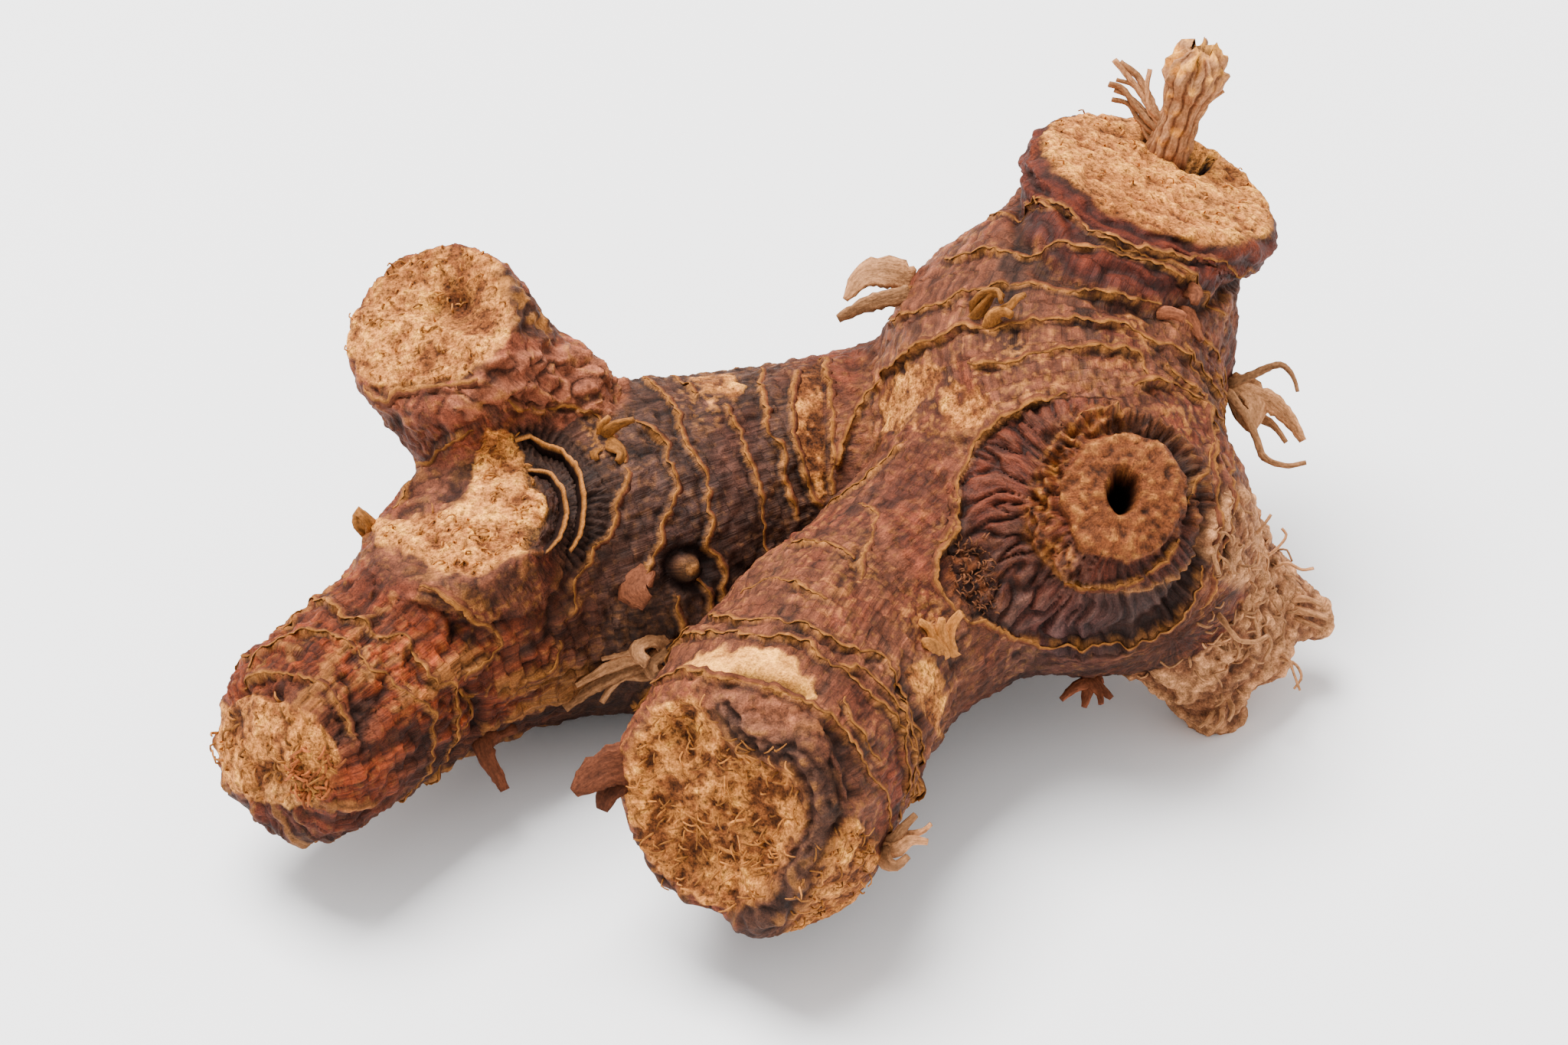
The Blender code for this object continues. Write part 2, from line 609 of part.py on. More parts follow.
def across_ways(way):
    """Two ways square to the given one."""
    helper = (0.0, 0.0, 1.0) if abs(way[2]) < 0.9 else (1.0, 0.0, 0.0)
    first = unit(np.cross(way, helper))
    return first, np.cross(way, first)


def strand(path, radii, sides, turn=0.0):
    """A closed tube through the path, flat at its start and with a blunt tip."""
    path = np.array(path, float)
    shape = bmesh.new()
    rings = []
    for index, (place, radius) in enumerate(zip(path, radii)):
        way = unit(path[min(index + 1, len(path) - 1)] - path[max(index - 1, 0)])
        first, second = across_ways(way)
        ring = []
        for side in range(sides):
            angle = turn + 2 * math.pi * side / sides
            ring.append(shape.verts.new(place + radius * (math.cos(angle) * first
                                                          + math.sin(angle) * second)))
        rings.append(ring)
    tip = shape.verts.new(path[-1] + way * radii[-1] * BLUNT_TIP)
    shape.faces.new(rings[0][::-1])
    for ring, after in zip(rings, rings[1:]):
        for side in range(sides):
            beside = (side + 1) % sides
            shape.faces.new((ring[side], ring[beside], after[beside], after[side]))
    for side in range(sides):
        shape.faces.new((rings[-1][side], rings[-1][(side + 1) % sides], tip))
    return shape


def core_strand(dice):
    """The fibre core standing up from the cut stem, flared at its torn top."""
    way = unit(CORE_WAY)
    path = [np.array(CORE_PLACE) + way * length for length, _ in CORE]
    core = strand(path, [radius for _, radius in CORE], CORE_SIDES)
    for vert in core.verts:
        vert.co += Vector([dice.uniform(-0.25, 0.25) for _ in range(3)])
    return core


def tuft(dice, base, way, count, length, spread, radius, curl):
    """Rootlets spreading from one base, each with its own bend."""
    for _ in range(count):
        heading = unit(unit(way) + spread * np.array([dice.uniform(-1, 1) for _ in range(3)]))
        bend = curl * np.array([dice.uniform(-1, 1) for _ in range(3)])
        place = np.array(base) + np.array([dice.uniform(-0.6, 0.6) for _ in range(3)])
        step = length * dice.uniform(0.75, 1.1) / TUFT_STEPS
        path = [place - heading * 1.2, place]
        for _ in range(TUFT_STEPS):
            heading = unit(heading + bend)
            path.append(path[-1] + heading * step)
        radii = [radius * (1.0 - TUFT_TAPER * index) for index in range(len(path))]
        yield strand(path, radii, TUFT_SIDES, dice.uniform(0, math.pi))


def flake(base, way, across, length, width, bend):
    """A thin curved plate of bark, the same on both faces."""
    way = unit(way)
    across = unit(np.array(across) - np.dot(across, way) * way)
    out = np.cross(way, across)
    shape = bmesh.new()
    sheets = []
    for level in (-0.5, 0.5):
        sheet = []
        for row in range(4):
            t = row / 3
            half = 0.5 * width * (0.75, 1.0, 0.9, 0.45)[row]
            middle = np.array(base) + way * (length * t - 1.5) + out * bend * 4 * t * t
            sheet.append([shape.verts.new(middle + across * half * side
                                          + out * (0.35 * bend * side * side + level * FLAKE_THICKNESS))
                          for side in (-1.0, 0.0, 1.0)])
        sheets.append(sheet)
    low, high = sheets
    for row in range(3):
        for side in range(2):
            a, b, c, d = (row, side), (row, side + 1), (row + 1, side + 1), (row + 1, side)
            for first, second, third in ((a, b, c), (a, c, d)):
                shape.faces.new([high[r][k] for r, k in (first, second, third)])
                shape.faces.new([low[r][k] for r, k in (third, second, first)])
    edge = [(0, 0), (0, 1), (0, 2), (1, 2), (2, 2), (3, 2), (3, 1), (3, 0), (2, 0), (1, 0)]
    for (r, k), (s, m) in zip(edge, edge[1:] + edge[:1]):
        shape.faces.new((low[r][k], low[s][m], high[s][m]))
        shape.faces.new((low[r][k], high[s][m], high[r][k]))
    return shape


def small_solids():
    """Every strand, tuft, splinter and flake that grows out of the rhizome."""
    dice = random.Random(SEED)
    yield core_strand(dice)
    yield strand(CLAW, CLAW_RADII, CLAW_SIDES)
    for settings in TUFTS:
        yield from tuft(dice, *settings)
    for place, way in SPLINTERS:
        way = unit(way)
        path = [np.array(place) + way * SPLINTER_LENGTH * t for t in (-0.5, 0.5)]
        yield strand(path, (SPLINTER_RADIUS, SPLINTER_RADIUS * 0.6), TUFT_SIDES, dice.uniform(0, 1))
    for settings in FLAKES:
        yield flake(*settings)


def united(body):
    """The body with every small solid united with it."""
    group = bpy.data.collections.new("small solids")
    bpy.context.scene.collection.children.link(group)
    for shape in small_solids():
        bmesh.ops.recalc_face_normals(shape, faces=shape.faces)
        mesh = bpy.data.meshes.new("small solid")
        shape.to_mesh(mesh)
        shape.free()
        group.objects.link(bpy.data.objects.new("small solid", mesh))
    union = body.modifiers.new("union", "BOOLEAN")
    union.operation = "UNION"
    union.operand_type = "COLLECTION"
    union.collection = group
    union.solver = "MANIFOLD"
    apply_modifiers(body)
    for thing in list(group.objects):
        bpy.data.objects.remove(thing)
    bpy.data.collections.remove(group)


def finished(body):
    """Metres, origin below the middle of the box, smooth shading and one bark material."""
    mesh = body.data
    corners = np.array([vert.co for vert in mesh.vertices])
    middle = (corners.min(axis=0) + corners.max(axis=0)) / 2
    mesh.transform(Matrix.Scale(MM, 4) @ Matrix.Translation((-middle[0], -middle[1],
                                                             -corners[:, 2].min())))
    bark = bpy.data.materials.new("bark")
    bark.use_nodes = True
    shader = bark.node_tree.nodes["Principled BSDF"]
    shader.inputs["Base Color"].default_value = BARK_COLOUR
    shader.inputs["Roughness"].default_value = BARK_ROUGHNESS
    mesh.materials.clear()
    mesh.materials.append(bark)
    mesh.shade_smooth()
    mesh.set_sharp_from_angle(angle=SHARP_ANGLE)


def main():
    for thing in list(bpy.data.objects):
        bpy.data.objects.remove(thing)
    rhizome = shaped_body()
    lie_flat(rhizome)
    united(rhizome)
    finished(rhizome)


main()
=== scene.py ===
"""A dried galangal root lying on a pale surface, seen from the front and above.

The root's skin is rebuilt finely over the same skeleton of limbs as the part: an even mesh is
drawn onto the blended limbs and raised by formula. Marks traced on the photograph, such as ring
edges and cut faces, are named lines in its pixels. Each is carried onto the skin by the camera.
Torn edges, fibres, rootlets and flakes are separate thin pieces that sit on the skin.
Lengths are in millimetres in the root's own frame until the pieces are placed.
"""

import math

import bmesh
import bpy
import numpy as np
from mathutils import Matrix, Vector
from mathutils.bvhtree import BVHTree


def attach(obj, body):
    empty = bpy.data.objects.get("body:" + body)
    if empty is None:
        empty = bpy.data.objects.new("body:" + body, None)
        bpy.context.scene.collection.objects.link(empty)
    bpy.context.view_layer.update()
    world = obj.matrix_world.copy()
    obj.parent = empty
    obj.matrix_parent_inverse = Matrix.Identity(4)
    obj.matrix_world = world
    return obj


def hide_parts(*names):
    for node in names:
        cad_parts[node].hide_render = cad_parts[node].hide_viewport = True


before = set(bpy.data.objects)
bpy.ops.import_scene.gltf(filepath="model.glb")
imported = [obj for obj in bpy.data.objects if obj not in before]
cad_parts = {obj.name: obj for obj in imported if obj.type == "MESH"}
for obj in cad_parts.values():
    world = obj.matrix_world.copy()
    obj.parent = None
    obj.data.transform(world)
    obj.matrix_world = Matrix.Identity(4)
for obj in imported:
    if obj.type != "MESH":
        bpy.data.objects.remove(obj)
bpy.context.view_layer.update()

# From the root's own frame to the part's: one millimetre in metres, and how far it is moved
MM = 0.001
ORIGIN_SHIFT = np.array([-0.754, 7.493, 0.0])

# The camera the photograph was taken with, as well as it can be told
PHOTO_WIDE, PHOTO_HIGH = 2048.0, 1365.0
LENS, SENSOR = 100.0, 36.0
CAMERA_ELEVATION = math.radians(38.0)
CAMERA_DISTANCE = 375.0
CAMERA_TARGET = np.array([0.0, 0.0, 14.0])
FOCAL_PIXELS = LENS / SENSOR * PHOTO_WIDE
LOOK = np.array([0.0, math.cos(CAMERA_ELEVATION), -math.sin(CAMERA_ELEVATION)])
IMAGE_UP = np.array([0.0, math.sin(CAMERA_ELEVATION), math.cos(CAMERA_ELEVATION)])
IMAGE_RIGHT = np.array([1.0, 0.0, 0.0])
CAMERA_PLACE = CAMERA_TARGET - CAMERA_DISTANCE * LOOK
PIXELS_PER_MM = FOCAL_PIXELS / CAMERA_DISTANCE

# Centre lines of the limbs: x, y, z and radius of each point
TRUNK = ((26.8, -7.2, 19.0, 12.4), (23.5, -0.2, 21.0, 14.0), (23.1, 6.3, 23.5, 14.8),
         (26.0, 10.5, 26.2, 12.8), (27.8, 13.9, 29.4, 11.1), (30.0, 16.7, 33.0, 10.2),
         (32.4, 19.0, 37.4, 10.7), (34.6, 20.2, 43.6, 10.9))
FRONT_LIMB = ((17.8, -5.9, 18.0, 11.2), (13.2, -10.4, 17.0, 10.6), (9.0, -15.3, 16.5, 10.2),
              (4.5, -20.7, 16.0, 10.4), (0.4, -29.7, 15.6, 11.1), (-1.8, -35.0, 16.3, 10.7),
              (-4.0, -39.8, 17.2, 9.8), (-6.4, -45.6, 18.2, 8.8))
FRONT_TOE = ((-0.5, -33.0, 12.0, 8.0), (1.6, -40.0, 9.8, 5.2), (2.4, -44.6, 8.8, 4.8))
LEFT_LIMB = ((11.8, 7.7, 15.0, 10.5), (2.4, 6.2, 14.0, 10.4), (-6.2, 3.1, 13.5, 11.6),
             (-14.1, -1.1, 13.0, 12.9), (-21.8, -6.8, 13.4, 11.7), (-29.4, -15.7, 13.4, 9.4),
             (-34.9, -23.2, 13.6, 8.5), (-38.9, -28.7, 13.8, 7.9), (-43.3, -34.9, 14.2, 7.2))
KNOB = ((-20.8, 2.2, 15.0, 8.8), (-23.6, 2.8, 22.0, 8.0), (-26.7, 2.0, 28.5, 8.1),
        (-29.6, 1.0, 34.0, 8.0), (-32.6, -0.2, 41.0, 7.4))
SCAR_STUB = ((-22.4, -6.0, 14.0, 8.6), (-25.4, -11.0, 19.0, 8.2), (-26.9, -13.6, 25.0, 8.0),
             (-27.6, -14.8, 30.0, 7.8))
BELLY = ((-18.6, -5.2, 9.3, 9.3), (-11.6, -5.0, 9.3, 9.3))
HEEL = ((22.0, 8.0, 16.0, 11.0), (18.0, 14.0, 9.0, 9.4))
KNOB_HEEL = ((-19.0, 2.0, 20.0, 5.0), (-18.2, 2.2, 27.2, 3.2))
ROOT_LOBE = ((29.5, -7.0, 14.0, 6.5), (33.2, -8.6, 9.0, 4.6), (35.8, -9.4, 4.6, 3.4),
             (37.2, -9.8, 1.4, 2.2))
SIDE_LOBE = ((30.0, -1.0, 18.0, 7.6), (36.6, -3.2, 13.2, 4.7), (41.4, -3.8, 9.2, 3.1),
             (45.6, -3.8, 6.4, 1.7))
MIDDLE_LOBE = ((31.0, -5.0, 14.0, 6.5), (36.2, -7.4, 10.0, 4.4), (40.6, -7.6, 6.2, 2.6))

# Cut faces: a point on the face, the way it looks, and how far its edge is rounded off
STEM_CUT = ((31.3, 17.9, 37.8), (0.316, 0.124, 0.939), 1.2)
FRONT_CUT = ((-4.4, -40.8, 17.0), (-0.38, -0.84, 0.38), 1.6)
FRONT_SIDE_CUT = ((3.4, -43.0, 12.0), (0.42, -0.86, -0.28), 1.6)
LEFT_CUT = ((-42.2, -32.0, 14.8), (-0.62, -0.75, 0.22), 5.0)
KNOB_CUT = ((-29.4, 0.8, 34.6), (-0.36, -0.42, 0.83), 2.0)
SCAR_CUT = ((-26.8, -13.8, 24.0), (-0.20, 0.0, 0.98), 1.6)

# Each limb's centre line and cuts
LIMBS = {
    "trunk": (TRUNK, (STEM_CUT,)),
    "front": (FRONT_LIMB, (FRONT_CUT, FRONT_SIDE_CUT)),
    "toe": (FRONT_TOE, (FRONT_SIDE_CUT,)),
    "left": (LEFT_LIMB, (LEFT_CUT,)),
    "knob": (KNOB, (KNOB_CUT,)),
    "scar": (SCAR_STUB, (SCAR_CUT,)),
    "belly": (BELLY, ()),
    "heel": (HEEL, ()),
    "knob heel": (KNOB_HEEL, ()),
    "root lobe": (ROOT_LOBE, ()),
    "side lobe": (SIDE_LOBE, ()),
    "middle lobe": (MIDDLE_LOBE, ()),
}
NAMES = list(LIMBS)
LOBES = ("root lobe", "side lobe", "middle lobe")

# How softly the limbs run into each other
BLEND = 3.0

# The limbs that each piece of skin covers; the left limb's far end is a piece of its own
SKIN_PIECES = {
    "skin_trunk": ("trunk",),
    "skin_heel": ("heel",),
    "skin_lobes": LOBES,
    "skin_left": ("left",),
    "skin_belly": ("belly",),
    "skin_knob": ("knob", "scar", "knob heel"),
    "skin_front": ("front", "toe"),
}
TIP_FROM = 46.0

# Torn sheath edges traced on the photograph: the limb, whether the edge goes on round the hidden
# side, how far it stands up, and the line in its pixels
EDGE_LINES = (
    ("left", True, 0.45, ((812, 481), (840, 500), (873, 524), (888, 557), (910, 600), (921, 639),
     (917, 665), (930, 676), (914, 706), (930, 726), (940, 761), (938, 795))),
    ("left", False, 0.75, ((826, 546), (852, 568), (871, 589), (862, 609), (878, 626), (875, 654),
     (860, 680), (862, 709), (847, 730), (838, 760))),
    ("left", False, 0.65, ((812, 609), (815, 643), (791, 659), (804, 678), (793, 702), (780, 706),
     (760, 742), (744, 752), (756, 790), (738, 815))),
    ("left", True, 0.4, ((945, 524), (947, 546), (966, 565), (975, 596), (982, 630), (992, 654),
     (992, 687), (997, 741))),
    ("left", True, 0.4, ((990, 481), (995, 524), (1001, 574), (1018, 594), (1018, 622),
     (1029, 650), (1038, 678))),
    ("left", False, 0.5, ((1040, 484), (1029, 535), (1031, 574), (1050, 624), (1068, 669))),
    ("left", False, 0.35, ((1072, 470), (1083, 540), (1086, 600), (1080, 650))),
    ("left", True, 0.6, ((326, 878), (342, 859), (376, 837), (395, 828), (420, 831), (439, 824),
     (448, 840), (467, 853), (473, 871), (483, 881), (501, 878), (511, 899), (520, 909),
     (545, 915), (558, 924))),
    ("left", True, 0.6, ((373, 824), (395, 799), (408, 787), (423, 784), (436, 796), (458, 806),
     (473, 821), (486, 834), (529, 831), (533, 859), (545, 874), (567, 899), (586, 896))),
    ("left", False, 0.8, ((545, 765), (567, 778), (598, 787), (608, 806), (629, 818), (651, 824),
     (645, 856), (614, 871), (601, 887))),
    ("left", False, 0.5, ((729, 834), (726, 856), (714, 871), (670, 896))),
    ("left", False, 0.5, ((312, 905), (340, 884), (376, 880), (410, 893), (436, 912), (452, 940),
     (458, 968))),
    ("left", False, 0.4, ((600, 902), (622, 920), (618, 945), (600, 968))),
    ("left", False, 0.45, ((655, 523), (680, 537), (706, 543), (738, 533), (775, 548), (800, 580),
     (812, 609))),
    ("trunk", True, 0.5, ((1232, 340), (1290, 327), (1323, 331), (1390, 327), (1444, 337),
     (1486, 350), (1527, 362), (1540, 375))),
    ("trunk", False, 0.5, ((1425, 318), (1450, 331), (1489, 343), (1530, 352), (1548, 371),
     (1573, 387), (1602, 417))),
    ("trunk", False, 0.45, ((1280, 290), (1328, 288), (1340, 283), (1382, 293))),
    ("trunk", False, 0.9, ((1340, 272), (1382, 284), (1407, 306), (1444, 327), (1507, 341),
     (1590, 349), (1640, 352))),
    ("trunk", True, 0.45, ((1115, 446), (1140, 437), (1173, 421), (1215, 404), (1257, 383),
     (1311, 371), (1361, 373), (1407, 381), (1448, 383), (1486, 394), (1519, 402))),
    ("trunk", False, 0.4, ((1548, 417), (1569, 442), (1598, 475))),
    ("trunk", True, 0.6, ((1094, 613), (1107, 567), (1127, 533), (1157, 496), (1194, 462),
     (1232, 442), (1265, 427), (1290, 433), (1327, 427), (1382, 421), (1423, 420), (1452, 427),
     (1477, 435), (1507, 446), (1540, 458), (1557, 479), (1573, 508))),
    ("trunk", False, 0.5, ((1261, 483), (1307, 479), (1348, 471), (1373, 462), (1407, 454),
     (1448, 454), (1473, 458), (1490, 475), (1498, 500), (1532, 504), (1569, 517))),
    ("trunk", False, 0.7, ((1573, 508), (1580, 560), (1588, 620), (1592, 690), (1590, 760),
     (1570, 800))),
    ("trunk", False, 0.5, ((1600, 480), (1606, 560), (1610, 640), (1604, 720))),
    ("front", False, 0.4, ((1060, 678), (1090, 654), (1140, 621), (1165, 596), (1190, 579))),
    ("front", False, 0.35, ((1115, 654), (1144, 667), (1136, 692), (1123, 721), (1123, 762))),
    ("front", False, 0.4, ((1024, 712), (1051, 709), (1066, 715), (1084, 715), (1099, 724),
     (1114, 735))),
    ("front", False, 0.4, ((962, 776), (993, 758), (1014, 763), (1034, 763), (1055, 780),
     (1080, 792))),
    ("front", True, 0.7, ((929, 807), (958, 814), (999, 814), (1039, 821), (1055, 829),
     (1088, 845), (1112, 856), (1150, 862))),
    ("front", True, 0.5, ((870, 848), (889, 838), (921, 832), (958, 828), (983, 835), (1014, 839),
     (1046, 841), (1061, 855), (1071, 874), (1089, 877), (1118, 892), (1131, 913))),
    ("front", False, 0.7, ((1093, 877), (1130, 880), (1143, 905), (1168, 924), (1174, 955),
     (1175, 993), (1180, 1030), (1174, 1071))),
    ("front", False, 0.6, ((1168, 866), (1171, 929), (1183, 960), (1190, 1000), (1184, 1046))),
    ("front", False, 0.6, ((818, 967), (821, 930), (849, 899), (883, 883), (924, 888), (968, 896),
     (1018, 908), (1055, 921), (1071, 930), (1093, 943), (1118, 968), (1139, 1011), (1155, 1049),
     (1161, 1080), (1152, 1118))),
    ("front", False, 0.5, ((1100, 905), (1108, 936), (1122, 960), (1140, 975), (1150, 1000))),
    ("knob", False, 0.6, ((518, 664), (547, 611), (571, 587), (594, 570), (618, 555))),
    ("knob", False, 0.7, ((471, 500), (497, 523), (515, 511), (562, 503), (600, 505), (628, 492))),
)

# The torn rims of the eye, which lean over it: how far each stands up, and its line in pixels
EYE_LINES = (
    (0.45, ((1398, 517), (1350, 531), (1307, 550), (1283, 578), (1265, 608), (1254, 632),
     (1252, 687), (1227, 712))),
    (0.75, ((1482, 512), (1500, 503), (1532, 500), (1569, 525), (1582, 550), (1575, 604),
     (1557, 625), (1544, 658))),
    (0.5, ((1254, 799), (1290, 816), (1331, 829), (1382, 843), (1434, 848), (1480, 841),
     (1516, 827), (1548, 800), (1567, 765), (1572, 737))),
    (0.55, ((1388, 755), (1424, 764), (1464, 760), (1495, 745), (1521, 722), (1536, 700))),
    (0.8, ((1252, 640), (1250, 700), (1220, 735), (1228, 770), (1262, 806))),
)

# The two curved shells beside the saddle scar, as lines in pixels
SHELL_LINES = (
    (1.5, ((671, 577), (687, 570), (706, 593), (736, 603), (752, 632), (755, 665), (749, 700),
     (739, 719))),
    (1.0, ((690, 619), (716, 626), (729, 648), (731, 674), (723, 700), (710, 719))),
)
SHELL_CENTRE = (690, 662)

# Rings on the hidden side, by place along each limb. Torn edges look along their limb, but on the
# trunk TRUNK_FLIP turns them back towards its start.
HIDDEN_RINGS = {"front": (3.0, 9.0, 15.0, 21.0), "left": (14.0, 24.0, 31.0, 45.0, 52.0),
                "trunk": (4.0, 9.0, 14.0), "knob": (18.0,)}
TRUNK_FLIP = -1.0

# Patches traced on the photograph, in its pixels
FRONT_FACE = (
    (823, 979), (856, 923), (903, 906), (926, 923), (966, 942), (979, 976), (1012, 972),
    (1042, 999), (1055, 1045), (1055, 1078), (1039, 1102), (1032, 1131), (1019, 1158), (999, 1181),
    (959, 1190), (923, 1185), (863, 1150), (830, 1100), (813, 1045), (820, 996))
SECOND_FACET = (
    (1092, 1072), (1122, 1072), (1141, 1098), (1145, 1135), (1116, 1182), (1080, 1216),
    (1045, 1230), (1014, 1222), (1039, 1161), (1065, 1112))
SLICE = (
    (896, 873), (926, 850), (966, 843), (1012, 850), (1045, 866), (1069, 896), (1069, 916),
    (1042, 913), (996, 896), (946, 883), (919, 883))
FLAP = (
    (1178, 876), (1208, 862), (1226, 882), (1232, 913), (1224, 939), (1230, 962), (1210, 940),
    (1196, 905))
LEFT_END = (
    (275, 959), (285, 924), (317, 904), (348, 909), (376, 918), (411, 934), (432, 965), (445, 990),
    (417, 1053), (373, 1053), (317, 1044), (285, 1009))
KNOB_FACE = (
    (438, 400), (462, 372), (480, 345), (520, 322), (580, 312), (620, 316), (652, 340), (664, 372),
    (668, 410), (664, 440), (640, 470), (600, 496), (560, 504), (515, 512), (480, 500), (448, 462),
    (436, 430))
SADDLE = (
    (486, 681), (559, 667), (594, 670), (618, 646), (624, 593), (635, 558), (673, 564), (679, 596),
    (694, 608), (723, 667), (694, 717), (635, 749), (577, 752), (547, 728), (518, 711), (490, 704))
STEM_FACE = (
    (1350, 212), (1348, 186), (1364, 150), (1394, 130), (1430, 118), (1470, 116), (1520, 118),
    (1570, 148), (1616, 198), (1656, 244), (1664, 282), (1652, 303), (1601, 322), (1561, 309),
    (1529, 301), (1505, 290), (1468, 280), (1441, 264), (1400, 237), (1379, 221), (1366, 210))
TORN_STRIP = (
    (1046, 484), (1036, 535), (1040, 580), (1070, 664), (1079, 650), (1080, 600), (1076, 520),
    (1073, 470))
OVAL_ONE = (
    (1155, 562), (1150, 530), (1165, 495), (1195, 474), (1224, 476), (1236, 494), (1212, 520),
    (1192, 545), (1178, 568))
OVAL_TWO = (
    (1232, 510), (1250, 500), (1280, 508), (1296, 530), (1285, 560), (1262, 572), (1240, 560),
    (1230, 535))
TOP_PATCH = (
    (905, 494), (930, 484), (958, 488), (972, 504), (958, 522), (944, 512), (922, 508))
KNOB_TORN = (
    (640, 350), (668, 352), (700, 372), (724, 398), (740, 432), (730, 452), (690, 446), (664, 430),
    (672, 400), (652, 380))
CRUMPLED = (
    (560, 512), (600, 500), (640, 470), (690, 452), (740, 446), (782, 466), (812, 482), (826, 520),
    (800, 548), (760, 540), (706, 546), (652, 530), (620, 552), (590, 540))

# Creases of the left limb, and the roll and the folds at the front limb's end, in pixels
LEFT_CREASES = (
    ((655, 526), (706, 546), (738, 536)),
    ((612, 905), (634, 925), (628, 950)),
    ((560, 770), (585, 800), (596, 826)),
    ((730, 745), (722, 790), (716, 830)),
    ((455, 885), (470, 930), (478, 975)),
)
FRONT_ROLL = (
    (950, 925), (975, 962), (1010, 978), (1048, 985), (1066, 1020), (1078, 1060), (1066, 1095),
    (1048, 1125), (1034, 1160), (1010, 1190), (985, 1205))
FRONT_FOLDS = (
    ((1092, 950), (1110, 990), (1118, 1040)),
    ((1178, 890), (1200, 950), (1204, 1010)),
    ((968, 880), (1010, 886), (1050, 905)),
    ((1085, 1000), (1098, 1050), (1092, 1080)),
)

# The core strand: radius at each length, and how far round it its own threads start, in pixels
CORE_SHAPE = ((-4.5, 1.6), (0.5, 1.9), (3.6, 1.7), (5.8, 1.95), (7.4, 2.6), (8.8, 2.5), (9.9, 1.1))
CORE_SPAN = (-4.5, 9.9)
CORE_RINGS, CORE_SIDES = 60, 96
CORE_REACH = 50

# The eye: the ribbed scar of a shoot on the round near end of the trunk
EYE_PLACE = np.array([24.3, -16.6, 26.7])
EYE_WAY = (-0.10, -0.765, 0.636)
EYE_RADIUS = 10.6
PITH_OFFSET = (2.9, 2.6)
PITH_RADIUS = 5.0
FAN_RADIUS = 7.6

# The hollow in the cut stem, the core in it, and the rolled collar under the cut
HOLLOW_PLACE = np.array([34.2, 25.4, 35.7])
HOLLOW_RADIUS = 2.9
HOLLOW_MOUTH = (1563, 192, 25)
CORE_PLACE = np.array([33.4, 23.9, 36.1])
CORE_WAY = (0.26, 0.12, 0.95)
CORE_AXIS = CORE_PLACE + np.array(CORE_WAY) / np.linalg.norm(CORE_WAY) * np.linspace(
    0.0, 9.0, 40)[:, None]
COLLAR_DEPTH = 4.0

# Slow lumps of the root's form: size, height and seed
LUMPS = ((9.0, 0.50, 1), (4.6, 0.22, 2))

# Steps of the skin and of the torn edges, and the measure of the bark's grain round a limb
BASE_STEP = 0.48
EDGE_STEP = 0.26
EDGE_BLOCK = 10
EDGE_MARGIN = 2.6
GRAIN_RADIUS = 9.0
STRETCH_RANGE = (0.35, 1.9)
FAR, UNCUT, TINY = 1e9, 1e3, 1e-9

# Strands that start beside the skin: steps and pixels to look back for it, and how far they sink
ROOT_SEARCH_STEPS, ROOT_SEARCH_STEP = 40, 3.0
ROOT_SUNK = 0.6

# The studio
FLOOR_SIZE = 8.0
FLOOR_COLOUR = (0.93, 0.92, 0.92, 1.0)
STUDIO_STRENGTH = 1.4
LIGHT_PLACE = (-0.30, 0.22, 1.15)
LIGHT_SIZE, LIGHT_POWER = 0.75, 46.0
CLIP_START = 0.01

# A strip's cross-section: across it and through it
STRIP_PROFILE = ((-1.0, 0.0), (-0.6, 0.5), (0.0, 0.62), (0.6, 0.5), (1.0, 0.0), (0.6, -0.5),
                 (0.0, -0.38), (-0.6, -0.5))
THINNEST = 0.05

# Colours of bark, raw root and fibre: red, green and blue
BARK = np.array([0.110, 0.0315, 0.0135])
BARK_LIGHT = np.array([0.152, 0.0465, 0.0198])
BARK_RED = np.array([0.108, 0.0208, 0.0082])
BARK_DARK = np.array([0.038, 0.015, 0.0085])
# The darkest bark, which also serves as painted shade in creases, folds, hollows, gaps and
# undersides
DEEP_BARK_AND_SHADE = np.array([0.015, 0.0052, 0.003])
BARK_GREY = np.array([0.041, 0.0190, 0.0122])
BARK_ORANGE = np.array([0.158, 0.0240, 0.0046])
EDGE_TAN = np.array([0.31, 0.114, 0.024])
# A near-black: painted shade in the torn edges' gaps, the eye's hole and pocket, creases, folds,
# under the collar and on the shells' inner faces, and the bud's dark ring
EDGE_DARK = np.array([0.01, 0.0038, 0.0023])
PITH = np.array([0.45, 0.163, 0.034])
PITH_LIGHT = np.array([0.78, 0.325, 0.053])
PITH_BROWN = np.array([0.14, 0.037, 0.0095])
PITH_DARK = np.array([0.032, 0.009, 0.0026])
COLLAR_RED = np.array([0.058, 0.0102, 0.005])
# Painted shade below the eye's raised fan
FAN_DARK = np.array([0.034, 0.014, 0.0098])
EYE_RED = np.array([0.050, 0.0118, 0.0056])
FIBRE = np.array([0.36, 0.16, 0.066])
FIBRE_DARK = np.array([0.13, 0.046, 0.019])
# Sheath lips and shells, row by row round each: their undersides and inner faces are dark with
# painted shade
SHEATH_COLOURS = (BARK * 0.9, BARK, EDGE_TAN * 0.7, EDGE_TAN * 1.05, EDGE_TAN * 0.5, DEEP_BARK_AND_SHADE,
                  DEEP_BARK_AND_SHADE)
SHELL_COLOURS = (BARK_GREY * 0.8, BARK_GREY, EDGE_TAN * 1.3, EDGE_TAN * 1.1, DEEP_BARK_AND_SHADE, EDGE_DARK)

